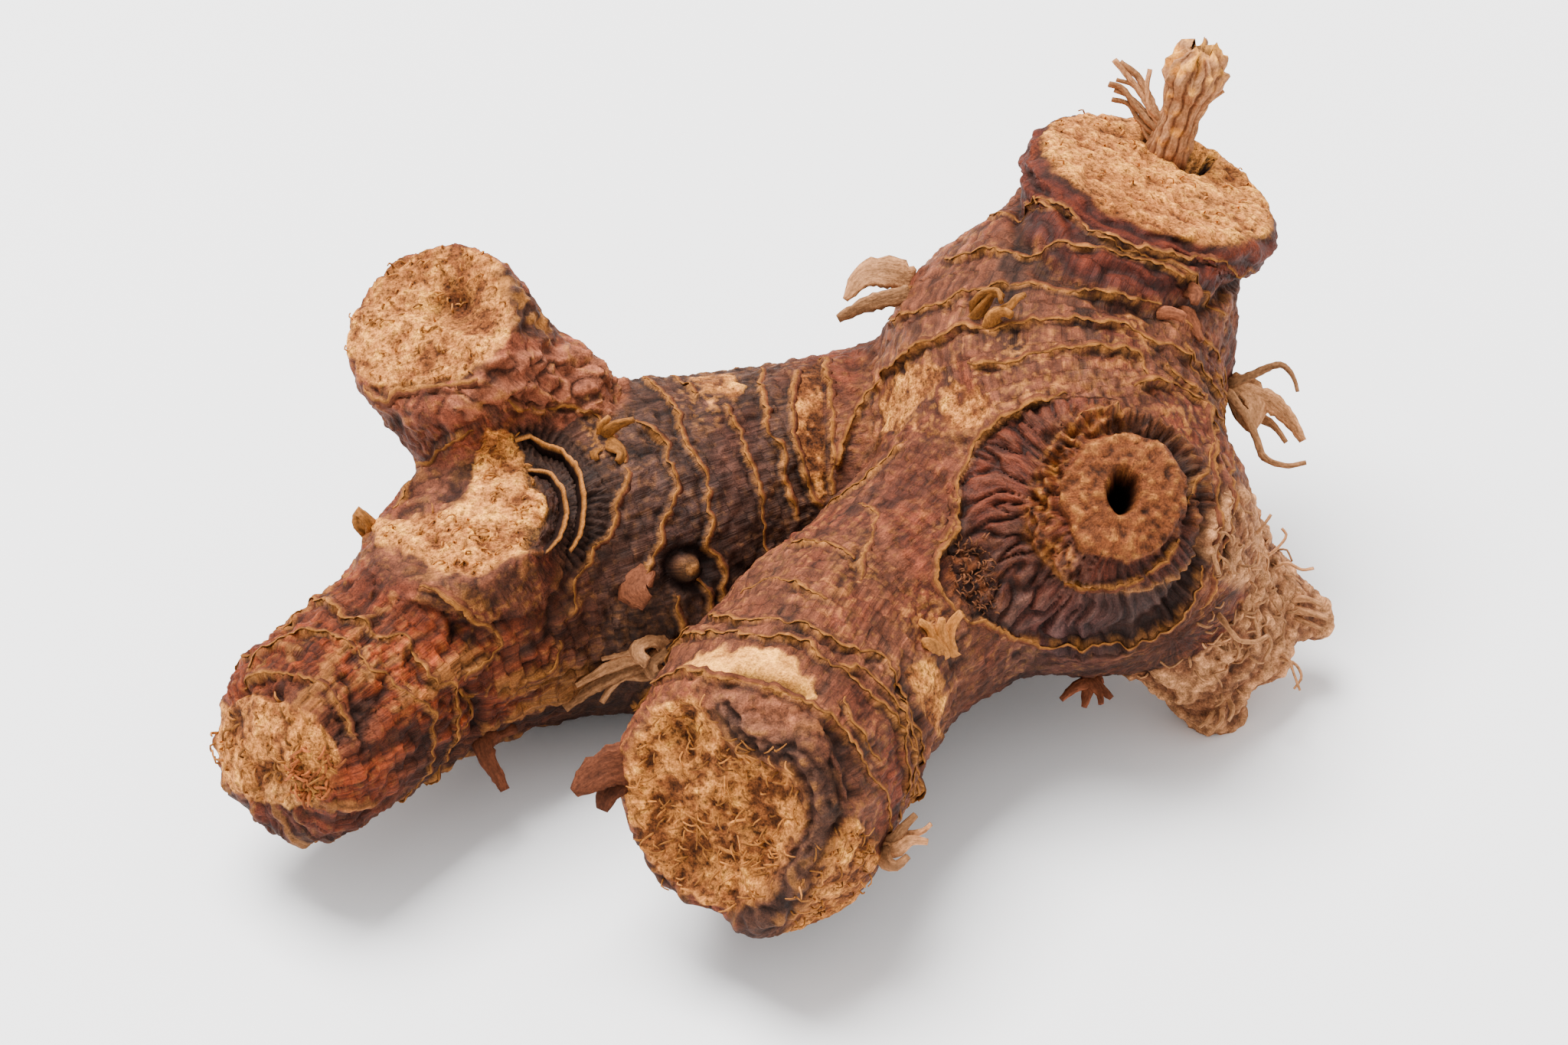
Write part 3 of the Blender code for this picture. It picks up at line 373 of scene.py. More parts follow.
# Places on the photograph: the pixel and the radius, and for pits the share of their depth
RED_PATCH = (1210, 645, 75)
PALE_END = (1010, 925, 48)
PALE_TOP = (985, 905, 120)
POCKET = (1266, 755, 46)
KNOB_PITS = ((592, 388, 24, 1.0), (560, 398, 14, 0.5))
END_PITS = ((303, 940, 14, 1.0), (352, 1012, 16, 0.8))
FACE_PITS = ((893, 962, 22, 1.0), (870, 1062, 16, 0.7), (905, 1130, 26, 0.7))
KNOB_LEDGE = (465, 397)
BUD = (897, 742)
ROOT_BUMPS = (1625, 700)
STREAKED_ACROSS, STREAKED_DOWN = (885, 960), (950, 1000)

# Bark with golden flecks, and the coarse grains under the eye's rim
FLECKED = (
    (1190, 520, 62), (1262, 530, 52), (1345, 492, 52), (1300, 470, 40), (1205, 800, 36),
    (1120, 760, 34), (1545, 545, 36), (1250, 690, 30), (470, 860, 34), (615, 800, 28),
    (780, 575, 30), (1395, 330, 40), (1480, 440, 40), (920, 520, 34))
EYE_GRAINS = (
    (1452, 548), (1412, 560), (1388, 590), (1374, 630), (1362, 668), (1364, 704), (1392, 724))

# Where the bark is made paler or darker than round it, partly its own tone and partly painted
# light and shade: pixel, radius, and how much in each colour
SHADES = (
    (583, 590, 75, 1.35, 1.40, 1.60), (710, 490, 75, 1.22, 1.25, 1.40),
    (980, 935, 80, 1.50, 1.60, 1.65), (1480, 300, 95, 0.80, 0.72, 0.72),
    (1210, 630, 110, 0.90, 0.88, 0.90), (905, 640, 110, 0.84, 0.86, 0.97),
    (1415, 790, 90, 1.20, 1.25, 1.40), (1370, 865, 70, 1.00, 1.15, 1.50),
    (390, 1068, 60, 0.75, 0.83, 1.10))

# Torn strips: the line in pixels from its root, widths and thickness, colour, twist and lean
TUFT_STRIPS = (
    (((858, 852), (836, 846), (815, 850), (785, 860)), (1.6, 1.2, 0.7), 0.35, FIBRE * 0.9, 0.6,
     0.3),
    (((856, 850), (836, 856), (806, 866), (775, 882), (752, 895)), (2.0, 1.3, 1.0, 0.5), 0.3,
     FIBRE * 1.05, -0.5, 0.3),
    (((852, 862), (826, 870), (795, 886), (762, 906), (737, 925)), (1.8, 1.5, 1.3, 1.1), 0.35,
     FIBRE, 0.5, 0.2),
    (((862, 864), (846, 880), (815, 882), (800, 896), (786, 918)), (1.6, 1.3, 1.1, 0.6), 0.35,
     FIBRE * 0.75, 0.9, 0.2),
    (((872, 842), (858, 834), (842, 838), (834, 852), (846, 866)), (2.2, 2.0, 1.7, 1.4), 0.7,
     FIBRE * 0.8, 0.8, 0.5),
    (((876, 850), (862, 856), (850, 870), (856, 882)), (1.8, 1.5, 1.2), 0.6, FIBRE * 0.6, 0.4,
     0.5),
    (((1610, 500), (1636, 490), (1662, 478), (1678, 478), (1690, 494), (1695, 512)),
     (0.9, 0.8, 0.7, 0.5, 0.3), 0.45, FIBRE * 0.8, 0.5, 0.0),
    (((1608, 505), (1640, 516), (1668, 530), (1690, 554), (1702, 576)), (1.3, 1.9, 2.2, 1.6, 0.9),
     0.4, FIBRE * 0.95, 0.9, 0.1),
    (((1612, 500), (1630, 508), (1640, 530), (1634, 558)), (1.4, 2.3, 2.2, 1.3), 0.4, FIBRE, -0.6,
     0.4),
    (((1606, 515), (1628, 545), (1642, 576), (1652, 598), (1680, 608), (1706, 604)),
     (0.9, 0.8, 0.7, 0.6, 0.4), 0.4, FIBRE * 0.75, 0.5, 0.1),
    (((1604, 495), (1612, 520), (1622, 548), (1640, 566)), (1.6, 1.4, 1.0, 0.6), 0.4, FIBRE * 0.7,
     0.3, 0.1),
    (((1640, 540), (1664, 556), (1680, 578)), (0.9, 1.1, 0.4), 0.35, FIBRE * 0.8, 1.0, 0.2),
    (((1192, 366), (1160, 356), (1128, 362), (1104, 392)), (2.2, 3.0, 2.2, 0.6), 0.4, FIBRE * 0.85,
     0.5, 0.0),
    (((1188, 384), (1150, 392), (1120, 402), (1094, 416)), (1.6, 1.6, 1.3, 0.8), 0.4, FIBRE * 0.7,
     -0.4, 0.0),
    (((1270, 420), (1284, 400), (1296, 384), (1310, 386)), (1.3, 1.2, 0.8), 0.45, EDGE_TAN * 0.8,
     1.4, 0.6),
    (((1290, 430), (1300, 410), (1318, 402), (1328, 390), (1338, 386)), (1.3, 1.2, 1.0, 0.6), 0.45,
     EDGE_TAN * 0.95, -1.2, 0.6),
    (((1276, 412), (1274, 396), (1286, 382), (1304, 380), (1308, 394)), (1.2, 1.2, 1.0, 0.7), 0.4,
     EDGE_TAN * 0.6, 1.8, 0.8),
    (((1300, 428), (1298, 412), (1310, 406), (1322, 412)), (1.4, 1.2, 0.8), 0.5, EDGE_TAN * 0.8,
     0.9, 0.5),
    (((1232, 860), (1222, 842), (1214, 822), (1200, 812)), (1.5, 1.3, 1.0, 0.6), 0.6,
     EDGE_TAN * 1.1, 0.7, 0.4),
    (((1240, 856), (1238, 836), (1244, 816), (1256, 800)), (1.6, 1.4, 1.1, 0.7), 0.6,
     EDGE_TAN * 1.2, -0.7, 0.5),
    (((1222, 854), (1216, 842), (1206, 840)), (1.7, 1.3, 0.9), 0.6, EDGE_TAN * 0.9, 0.5, 0.6),
    (((1236, 846), (1228, 826), (1230, 808)), (1.4, 1.2, 0.6), 0.6, EDGE_TAN, 0.4, 0.8),
    (((1154, 1100), (1168, 1096), (1180, 1080), (1196, 1064)), (1.4, 1.3, 0.9, 0.5), 0.5,
     FIBRE * 0.8, 0.8, 0.2),
    (((1152, 1108), (1170, 1110), (1190, 1098), (1212, 1100)), (1.5, 1.5, 1.0, 0.5), 0.5, FIBRE,
     -0.8, 0.2),
    (((1150, 1112), (1160, 1126), (1172, 1130), (1186, 1118)), (1.6, 1.4, 1.0, 0.5), 0.5,
     FIBRE * 0.75, 0.9, 0.2),
    (((1160, 1104), (1178, 1092), (1204, 1086), (1216, 1076)), (1.0, 0.8, 0.6, 0.3), 0.4,
     FIBRE * 1.1, 0.5, 0.3),
    (((1418, 892), (1402, 900), (1386, 914)), (1.5, 1.1, 0.5), 0.5, BARK * 1.2, 0.5, 0.2),
    (((1422, 892), (1420, 908), (1416, 924)), (1.5, 1.1, 0.5), 0.5, BARK * 1.3, 0.5, 0.2),
    (((1428, 890), (1440, 900), (1452, 912)), (1.5, 1.1, 0.5), 0.5, BARK, 0.5, 0.2),
    (((1424, 888), (1436, 906), (1438, 920)), (1.3, 1.0, 0.4), 0.5, BARK * 1.4, -0.5, 0.3),
    (((786, 572), (796, 560), (812, 552), (828, 548)), (1.3, 1.1, 0.6), 0.4, EDGE_TAN * 0.8, 0.9,
     0.4),
    (((790, 575), (800, 582), (812, 592), (806, 604)), (1.5, 1.3, 0.8), 0.4, EDGE_TAN * 0.7, -0.7,
     0.4),
    (((784, 580), (776, 592), (780, 602)), (1.4, 1.2, 0.7), 0.4, EDGE_TAN * 0.6, 0.7, 0.4),
    (((788, 570), (786, 556), (796, 544)), (1.2, 1.0, 0.5), 0.4, EDGE_TAN * 0.9, 0.7, 0.4),
    (((846, 735), (838, 752), (828, 770), (846, 788)), (1.2, 2.6, 2.9, 1.6), 0.3, BARK_LIGHT * 1.1,
     0.5, 0.35),
    (((816, 998), (790, 1004), (768, 1020), (750, 1036)), (3.4, 3.2, 2.6, 0.9), 0.5, BARK * 0.75,
     0.3, 0.0),
    (((812, 1010), (796, 1034), (786, 1058)), (3.0, 2.2, 1.0), 0.5, BARK * 0.6, 0.3, 0.0),
    (((486, 690), (476, 676), (466, 668)), (1.4, 1.0, 0.8), 0.5, EDGE_TAN * 0.9, 0.8, 0.0),
    (((480, 696), (470, 690), (464, 676), (472, 664)), (1.1, 0.9, 0.6), 0.5, EDGE_TAN * 0.7, 0.8,
     0.0),
    (((1548, 376), (1562, 384), (1560, 398)), (1.5, 1.6, 0.8), 0.35, BARK_LIGHT * 1.3, 0.6, 0.5),
    (((1536, 408), (1552, 412), (1562, 430), (1570, 446)), (1.2, 1.5, 1.2, 0.6), 0.35,
     BARK_LIGHT * 1.2, 0.8, 0.4),
    (((1508, 412), (1530, 408), (1548, 416)), (0.9, 1.2, 0.9), 0.3, BARK_LIGHT * 1.2, 0.4, 0.4),
    (((640, 955), (632, 972), (638, 992), (650, 1012), (660, 1032)), (1.9, 1.8, 1.5, 1.3, 0.8),
     0.9, BARK * 1.0, 0.4, 0.1),
    (((668, 946), (650, 956), (636, 972)), (1.8, 1.6, 1.3), 0.9, BARK * 0.9, 0.4, 0.2),
)

# Threads and rootlets: the line in pixels from its root, widths, colour and lean
ROOTLETS = (
    (((1520, 175), (1500, 150), (1478, 128), (1455, 118)), (0.5, 0.4, 0.25), FIBRE, 0.1),
    (((1518, 165), (1496, 132), (1480, 112), (1458, 104)), (0.5, 0.4, 0.25), FIBRE * 0.9, 0.1),
    (((1515, 155), (1500, 126), (1486, 100), (1462, 82)), (0.9, 0.7, 0.4), FIBRE * 1.1, 0.1),
    (((1512, 160), (1490, 122), (1470, 96), (1455, 78)), (0.7, 0.6, 0.4), FIBRE, 0.2),
    (((1510, 168), (1484, 140), (1466, 116), (1448, 110)), (0.8, 0.6, 0.35), FIBRE * 0.8, 0.2),
    (((1514, 180), (1488, 158), (1474, 136), (1452, 130)), (0.6, 0.5, 0.3), FIBRE * 0.7, 0.1),
    (((1508, 190), (1494, 172), (1488, 150)), (0.5, 0.4, 0.25), FIBRE * 0.8, 0.2),
    (((1506, 148), (1498, 116), (1502, 90)), (0.6, 0.5, 0.3), FIBRE * 1.1, 0.2),
    (((1566, 140), (1584, 128), (1598, 118)), (0.6, 0.5, 0.3), FIBRE, 0.1),
    (((1560, 130), (1586, 112), (1602, 100)), (0.6, 0.5, 0.3), FIBRE * 0.9, 0.1),
    (((1552, 110), (1560, 88), (1556, 74)), (0.5, 0.4, 0.25), FIBRE * 1.1, 0.1),
    (((1572, 116), (1590, 96), (1588, 86)), (0.5, 0.4, 0.25), FIBRE * 1.1, 0.1),
    (((1640, 700), (1652, 684), (1660, 672)), (0.35, 0.3, 0.2), FIBRE * 0.8, 0.0),
    (((1650, 730), (1668, 716), (1680, 700), (1674, 690)), (0.3, 0.28, 0.2), FIBRE, 0.0),
    (((1660, 745), (1680, 735), (1700, 744), (1716, 742)), (0.4, 0.3, 0.2), FIBRE, 0.0),
    (((1690, 795), (1712, 800), (1734, 806)), (0.9, 0.7, 0.4), FIBRE, 0.0),
    (((1685, 785), (1706, 782), (1726, 790)), (0.7, 0.6, 0.3), FIBRE * 0.9, 0.0),
    (((1690, 805), (1714, 816), (1728, 822)), (0.6, 0.5, 0.3), FIBRE * 0.85, 0.0),
    (((1670, 850), (1684, 862), (1690, 880), (1698, 902)), (0.3, 0.28, 0.2), FIBRE * 0.9, 0.0),
    (((1665, 860), (1690, 866), (1700, 884), (1690, 900)), (0.3, 0.28, 0.2), FIBRE, 0.0),
    (((1590, 800), (1606, 822), (1618, 836), (1640, 838), (1656, 830)), (0.5, 0.45, 0.3),
     FIBRE * 0.9, 0.5),
    (((1640, 770), (1636, 800), (1644, 828)), (0.5, 0.4, 0.3), FIBRE, 0.6),
    (((1660, 780), (1650, 812), (1660, 840), (1652, 862)), (0.5, 0.4, 0.3), FIBRE * 0.8, 0.5),
    (((1600, 690), (1586, 720), (1592, 750)), (0.6, 0.5, 0.35), FIBRE * 0.7, 0.5),
    (((1586, 925), (1578, 940), (1566, 950)), (0.6, 0.5, 0.3), FIBRE * 0.9, 0.1),
    (((1596, 920), (1596, 940), (1588, 950)), (0.6, 0.5, 0.3), FIBRE, 0.1),
    (((1604, 910), (1610, 928), (1604, 942)), (0.6, 0.5, 0.3), FIBRE * 0.8, 0.1),
    (((940, 1090), (962, 1078), (990, 1082), (1012, 1074)), (0.35, 0.3, 0.25), PITH, 0.5),
    (((930, 1100), (950, 1112), (980, 1116), (1004, 1102), (1010, 1088)), (0.3, 0.3, 0.2),
     PITH * 0.8, 0.5),
    (((952, 1084), (956, 1074), (974, 1070)), (0.3, 0.25, 0.2), PITH * 1.1, 0.6),
)

# Short fibres: where they grow, how many, how long and wide, and their colour
FUZZ = (
    (FRONT_FACE, 170, 1.4, 0.18, PITH * 0.7),
    (SECOND_FACET, 60, 1.2, 0.17, PITH * 0.7),
    (LEFT_END, 60, 1.2, 0.26, PITH * 0.55),
    (SADDLE, 90, 0.9, 0.20, PITH * 0.8),
    (KNOB_FACE, 90, 0.8, 0.20, PITH * 0.7),
    (STEM_FACE, 60, 0.8, 0.18, PITH),
    (((1248, 700), (1290, 700), (1312, 770), (1300, 806), (1262, 800), (1238, 760)), 110, 0.7,
     0.15, FIBRE_DARK),
    (((1590, 640), (1650, 660), (1700, 780), (1730, 806), (1640, 870), (1600, 930), (1560, 900),
     (1480, 880), (1580, 790)), 65, 1.7, 0.26, FIBRE * 0.95),
    (((380, 980), (410, 970), (440, 990), (436, 1030), (400, 1050), (376, 1030)), 40, 1.4, 0.3,
     PITH_BROWN * 1.8),
)


def unit(vector):
    """The vector at length one."""
    vector = np.asarray(vector, float)
    return vector / np.linalg.norm(vector)


def unit_rows(ways):
    """Each way at length one."""
    return ways / np.maximum(np.linalg.norm(ways, axis=1), TINY)[:, None]


def lengths_along(points):
    """The length along a line at each of its points."""
    steps = np.linalg.norm(np.diff(points, axis=0), axis=1)
    return np.concatenate([[0.0], np.cumsum(steps)])


def read_along(places, lengths, values):
    """Values that are given along a line, read at other places on it."""
    return np.stack([np.interp(places, lengths, column) for column in values.T], axis=-1)


def curve_through(points, steps=6):
    """A smooth line through the points, with the radius carried along as a fourth value."""
    nodes = np.array(points, float)
    ends = np.vstack([2 * nodes[0] - nodes[1], nodes, 2 * nodes[-1] - nodes[-2]])
    line = []
    for before, start, stop, after in zip(ends, ends[1:], ends[2:], ends[3:]):
        for t in np.linspace(0.0, 1.0, steps, endpoint=False):
            line.append(0.5 * (2 * start + (stop - before) * t
                               + (2 * before - 5 * start + 4 * stop - after) * t ** 2
                               + (3 * start - before - 3 * stop + after) * t ** 3))
    line.append(nodes[-1])
    return np.array(line)


LINES = {name: curve_through(points) for name, (points, _) in LIMBS.items()}


def lump_noise(spots, cell, seed):
    """The slow lumps of the root's form, from -1 to 1, one value for each spot."""
    grid = spots / cell + 31.7 * seed
    base = np.floor(grid).astype(np.int64)
    part = grid - base
    ease = part ** 3 * (part * (part * 6 - 15) + 10)
    total = np.zeros(len(spots))
    for corner in np.ndindex(2, 2, 2):
        key = (base + corner).astype(np.uint64)
        code = key[:, 0] * np.uint64(73856093) ^ key[:, 1] * np.uint64(19349663)
        code = code ^ key[:, 2] * np.uint64(83492791) ^ np.uint64(seed * 2654435)
        code = (code ^ (code >> np.uint64(13))) * np.uint64(1274126177)
        value = ((code ^ (code >> np.uint64(16))) & np.uint64(65535)).astype(float) / 32767.5 - 1.0
        weight = np.where(corner[0], ease[:, 0], 1.0 - ease[:, 0])
        weight = weight * np.where(corner[1], ease[:, 1], 1.0 - ease[:, 1])
        weight = weight * np.where(corner[2], ease[:, 2], 1.0 - ease[:, 2])
        total += value * weight
    return total


def noise(spots, cell, seed):
    """Even fine noise with features of about the given size, mostly from -1 to 1."""
    dice = np.random.default_rng(seed)
    turn, _ = np.linalg.qr(dice.normal(size=(3, 3)))
    ways = unit_rows(dice.normal(size=(256, 3)))
    order = dice.permutation(256)
    grid = spots @ turn.T / cell + dice.uniform(0.0, 100.0, 3)
    base = np.floor(grid).astype(int)
    part = grid - base
    ease = part ** 3 * (part * (part * 6 - 15) + 10)
    total = np.zeros(len(spots))
    for corner in np.ndindex(2, 2, 2):
        key = order[(base[:, 0] + corner[0]) & 255]
        key = order[(key + base[:, 1] + corner[1]) & 255]
        key = order[(key + base[:, 2] + corner[2]) & 255]
        value = (ways[key] * (part - corner)).sum(axis=1)
        for axis in range(3):
            value *= ease[:, axis] if corner[axis] else 1.0 - ease[:, axis]
        total += value
    return 1.9 * total


def rise(low, high, value):
    """0 below low, 1 above high, and an even rise between them."""
    t = np.clip((value - low) / (high - low), 0.0, 1.0)
    return t * t * (3 - 2 * t)


def ridge(distance, width):
    """A rounded ridge of height 1, as wide as given on each side."""
    return np.exp(-(distance / width) ** 2)


def to_pixels(spots):
    """Where spots show in the photograph."""
    away = spots - CAMERA_PLACE
    depth = away @ LOOK
    return np.stack([PHOTO_WIDE / 2 + FOCAL_PIXELS * (away @ IMAGE_RIGHT) / depth,
                     PHOTO_HIGH / 2 - FOCAL_PIXELS * (away @ IMAGE_UP) / depth], axis=1)


def pixel_ray(x, y):
    """The way from the camera through a pixel of the photograph."""
    return unit(LOOK + IMAGE_RIGHT * (x - PHOTO_WIDE / 2) / FOCAL_PIXELS
                - IMAGE_UP * (y - PHOTO_HIGH / 2) / FOCAL_PIXELS)


def limb_tube(points, cuts):
    """A closed tube round one limb, with a round start and, where it is cut, a flat end."""
    line = curve_through(points, 4)
    data = bpy.data.curves.new("limb", "CURVE")
    data.dimensions = "3D"
    data.bevel_depth = 1.0
    data.bevel_resolution = 6
    data.use_fill_caps = True
    spline = data.splines.new("POLY")
    spline.points.add(len(line) - 1)
    for point, (x, y, z, radius) in zip(spline.points, line):
        point.co = (x, y, z, 1.0)
        point.radius = radius
    limb = bpy.data.objects.new("limb", data)
    bpy.context.collection.objects.link(limb)
    graph = bpy.context.evaluated_depsgraph_get()
    tube = bmesh.new()
    tube.from_mesh(bpy.data.meshes.new_from_object(limb.evaluated_get(graph)))
    bpy.data.objects.remove(limb)
    bmesh.ops.remove_doubles(tube, verts=tube.verts, dist=0.01)
    round_ends = [line[0]] if cuts else [line[0], line[-1]]
    for end in round_ends:
        bmesh.ops.create_icosphere(tube, subdivisions=3, radius=end[3] * 0.995,
                                   matrix=Matrix.Translation(Vector(end[:3])))
    for place, way, _ in cuts:
        everything = tube.verts[:] + tube.edges[:] + tube.faces[:]
        bmesh.ops.bisect_plane(tube, geom=everything, plane_co=place, plane_no=way,
                               clear_outer=True)
        rim = [edge for edge in tube.edges if edge.is_boundary]
        bmesh.ops.contextual_create(tube, geom=rim)
    bmesh.ops.recalc_face_normals(tube, faces=tube.faces)
    return tube


def joined_limbs():
    """The mesh of all limbs, remeshed into one even skin of squares."""
    whole = bmesh.new()
    for points, cuts in LIMBS.values():
        tube = limb_tube(points, cuts)
        piece = bpy.data.meshes.new("piece")
        tube.to_mesh(piece)
        tube.free()
        whole.from_mesh(piece)
        bpy.data.meshes.remove(piece)
    mesh = bpy.data.meshes.new("limbs")
    whole.to_mesh(mesh)
    whole.free()
    body = bpy.data.objects.new("limbs", mesh)
    bpy.context.collection.objects.link(body)
    skin = body.modifiers.new("skin", "REMESH")
    skin.mode = "VOXEL"
    skin.voxel_size = BASE_STEP
    graph = bpy.context.evaluated_depsgraph_get()
    mesh = bpy.data.meshes.new_from_object(body.evaluated_get(graph))
    bpy.data.objects.remove(body)
    return mesh


def limb_frames(line):
    """Length along a centre line at each of its points, and the ways up, aside and ahead there."""
    ahead = unit_rows(np.gradient(line[:, :3], axis=0))
    up = unit_rows(np.array([0.0, 0.0, 1.0]) - ahead[:, 2:3] * ahead)
    return lengths_along(line[:, :3]), up, np.cross(ahead, up), ahead


def nearest_on_limb(spots, line):
    """For each spot: distance outside the limb, place along it, and the offset from its axis."""
    gap = np.full(len(spots), FAR)
    along = np.zeros(len(spots))
    offset = np.zeros_like(spots)
    starts = lengths_along(line[:, :3])
    for start, stop, length, s in zip(line, line[1:], np.diff(starts), starts):
        step = (stop - start)[:3]
        t = np.clip((spots - start[:3]) @ step / length ** 2, 0.0, 1.0)
        away = spots - start[:3] - t[:, None] * step
        here = np.sqrt((away * away).sum(axis=1)) - start[3] - t * (stop[3] - start[3])
        closer = here < gap
        gap[closer] = here[closer]
        along[closer] = s + t[closer] * length
        offset[closer] = away[closer]
    return gap, along, offset


def turn_round_limb(line, along, offset):
    """The angle of each spot round its limb from the top, and the stretch of the limb's bend."""
    lengths, up, side, ahead = limb_frames(line)
    turn = np.arctan2((offset * read_along(along, lengths, side)).sum(axis=1),
                      (offset * read_along(along, lengths, up)).sum(axis=1))
    bend = read_along(along, lengths, np.gradient(ahead, lengths, axis=0))
    return turn, np.clip(1.0 - (offset * bend).sum(axis=1), *STRETCH_RANGE)


def mix_towards(first, second, softness):
    """How much the second distance counts where the larger of the two is taken softly."""
    return np.clip(0.5 + 0.5 * (second - first) / softness, 0.0, 1.0)


def body_surface(spots, full=False):
    """Distance outside the blended body, the way out of it, and each spot's place on its limb."""
    count = len(spots)
    total = np.full(count, UNCUT)
    way_out = np.zeros_like(spots)
    nearest = np.full(count, FAR)
    second = np.full(count, FAR)
    owner = np.zeros(count, int)
    place_along = np.zeros(count)
    turn = np.zeros(count)
    stretch = np.ones(count)
    below_cut = np.full(count, UNCUT)
    for index, (name, (_, cuts)) in enumerate(LIMBS.items()):
        line = LINES[name]
        reach = line[:, 3:4] + BLEND + 2.0
        low = (line[:, :3] - reach).min(axis=0)
        high = (line[:, :3] + reach).max(axis=0)
        near = np.flatnonzero(((spots > low) & (spots < high)).all(axis=1))
        here = spots[near]
        gap, along, offset = nearest_on_limb(here, line)
        way = unit_rows(offset)
        cut_depth = np.full(len(near), UNCUT)
        for place, cut_way, softness in cuts:
            above = (here - np.array(place)) @ unit(cut_way)
            share = mix_towards(gap, above, softness)
            gap = gap * (1 - share) + above * share + softness * share * (1 - share)
            way = way * (1 - share)[:, None] + unit(cut_way) * share[:, None]
            cut_depth = np.minimum(cut_depth, -above)
        mine = gap < nearest[near]
        second[near] = np.where(mine, nearest[near], np.minimum(second[near], gap))
        chosen = near[mine]
        nearest[chosen] = gap[mine]
        owner[chosen] = index
        place_along[chosen] = along[mine]
        below_cut[chosen] = cut_depth[mine]
        if full:
            turn[chosen], stretch[chosen] = turn_round_limb(line, along[mine], offset[mine])
        keep = mix_towards(total[near], gap, BLEND)
        total[near] = gap * (1 - keep) + total[near] * keep - BLEND * keep * (1 - keep)
        way_out[near] = way * (1 - keep)[:, None] + way_out[near] * keep[:, None]
    return {"gap": total, "out": unit_rows(way_out), "owner": owner, "along": place_along,
            "turn": turn, "stretch": stretch, "below_cut": below_cut, "alone": second - nearest}


def line_gap(pixels, line, closed=False):
    """Distance in pixels to a traced line, and how far along it the nearest point is, 0 to 1."""
    points = np.array(line, float)
    if closed:
        points = np.vstack([points, points[:1]])
    starts = lengths_along(points)
    gap = np.full(len(pixels), FAR)
    along = np.zeros(len(pixels))
    for start, step, length, s in zip(points, np.diff(points, axis=0), np.diff(starts), starts):
        t = np.clip(((pixels - start) @ step) / length ** 2, 0.0, 1.0)
        away = pixels - start - t[:, None] * step
        here = np.hypot(away[:, 0], away[:, 1])
        closer = here < gap
        gap[closer] = here[closer]
        along[closer] = (s + t[closer] * length) / starts[-1]
    return gap, along


def inside_patch(pixels, outline):
    """Distance in pixels inside a traced outline, negative outside it."""
    gap, _ = line_gap(pixels, outline, closed=True)
    inside = np.zeros(len(pixels), bool)
    points = np.array(outline, float)
    for start, stop in zip(points, np.roll(points, -1, axis=0)):
        crosses = (start[1] > pixels[:, 1]) != (stop[1] > pixels[:, 1])
        slope = (stop[0] - start[0]) / (stop[1] - start[1] + 1e-9)
        inside ^= crosses & (pixels[:, 0] < start[0] + (pixels[:, 1] - start[1]) * slope)
    return np.where(inside, gap, -gap)


class Skin:
    """A skin that things are set down on: rays are cast onto it from the camera or from inside."""

    def __init__(self, spots, corners):
        self.tree = BVHTree.FromPolygons([Vector(spot) for spot in spots],
                                         [tuple(face) for face in corners])

    def under(self, x, y):
        """The spot of the skin under a pixel, or nothing."""
        place, _, _, _ = self.tree.ray_cast(Vector(CAMERA_PLACE), Vector(pixel_ray(x, y)))
        return None if place is None else np.array(place)

    def outwards(self, spot, way, reach):
        """Where a ray from inside leaves the skin, or nothing where that is out of reach."""
        place, _, _, _ = self.tree.ray_cast(Vector(spot), Vector(way), reach)
        return None if place is None else np.array(place)

    def settle(self, spots, out):
        """Spots moved along their way out until they lie on the skin."""
        moved = spots.copy()
        for index, (spot, way) in enumerate(zip(spots, out)):
            start = spot + 2.5 * way
            place, _, _, _ = self.tree.ray_cast(Vector(start), Vector(-way), 5.0)
            if place is not None:
                moved[index] = place
        return moved


def evenly(points, step):
    """The points of a line at an even step."""
    points = np.asarray(points, float)
    lengths = lengths_along(points)
    count = max(int(lengths[-1] / step), 2)
    return read_along(np.linspace(0.0, lengths[-1], count), lengths, points)


def grain_grid(along, across, through):
    """Spots in a strip's own measure: along it, across it and through it."""
    return np.stack(np.broadcast_arrays(along, across, through), axis=-1)


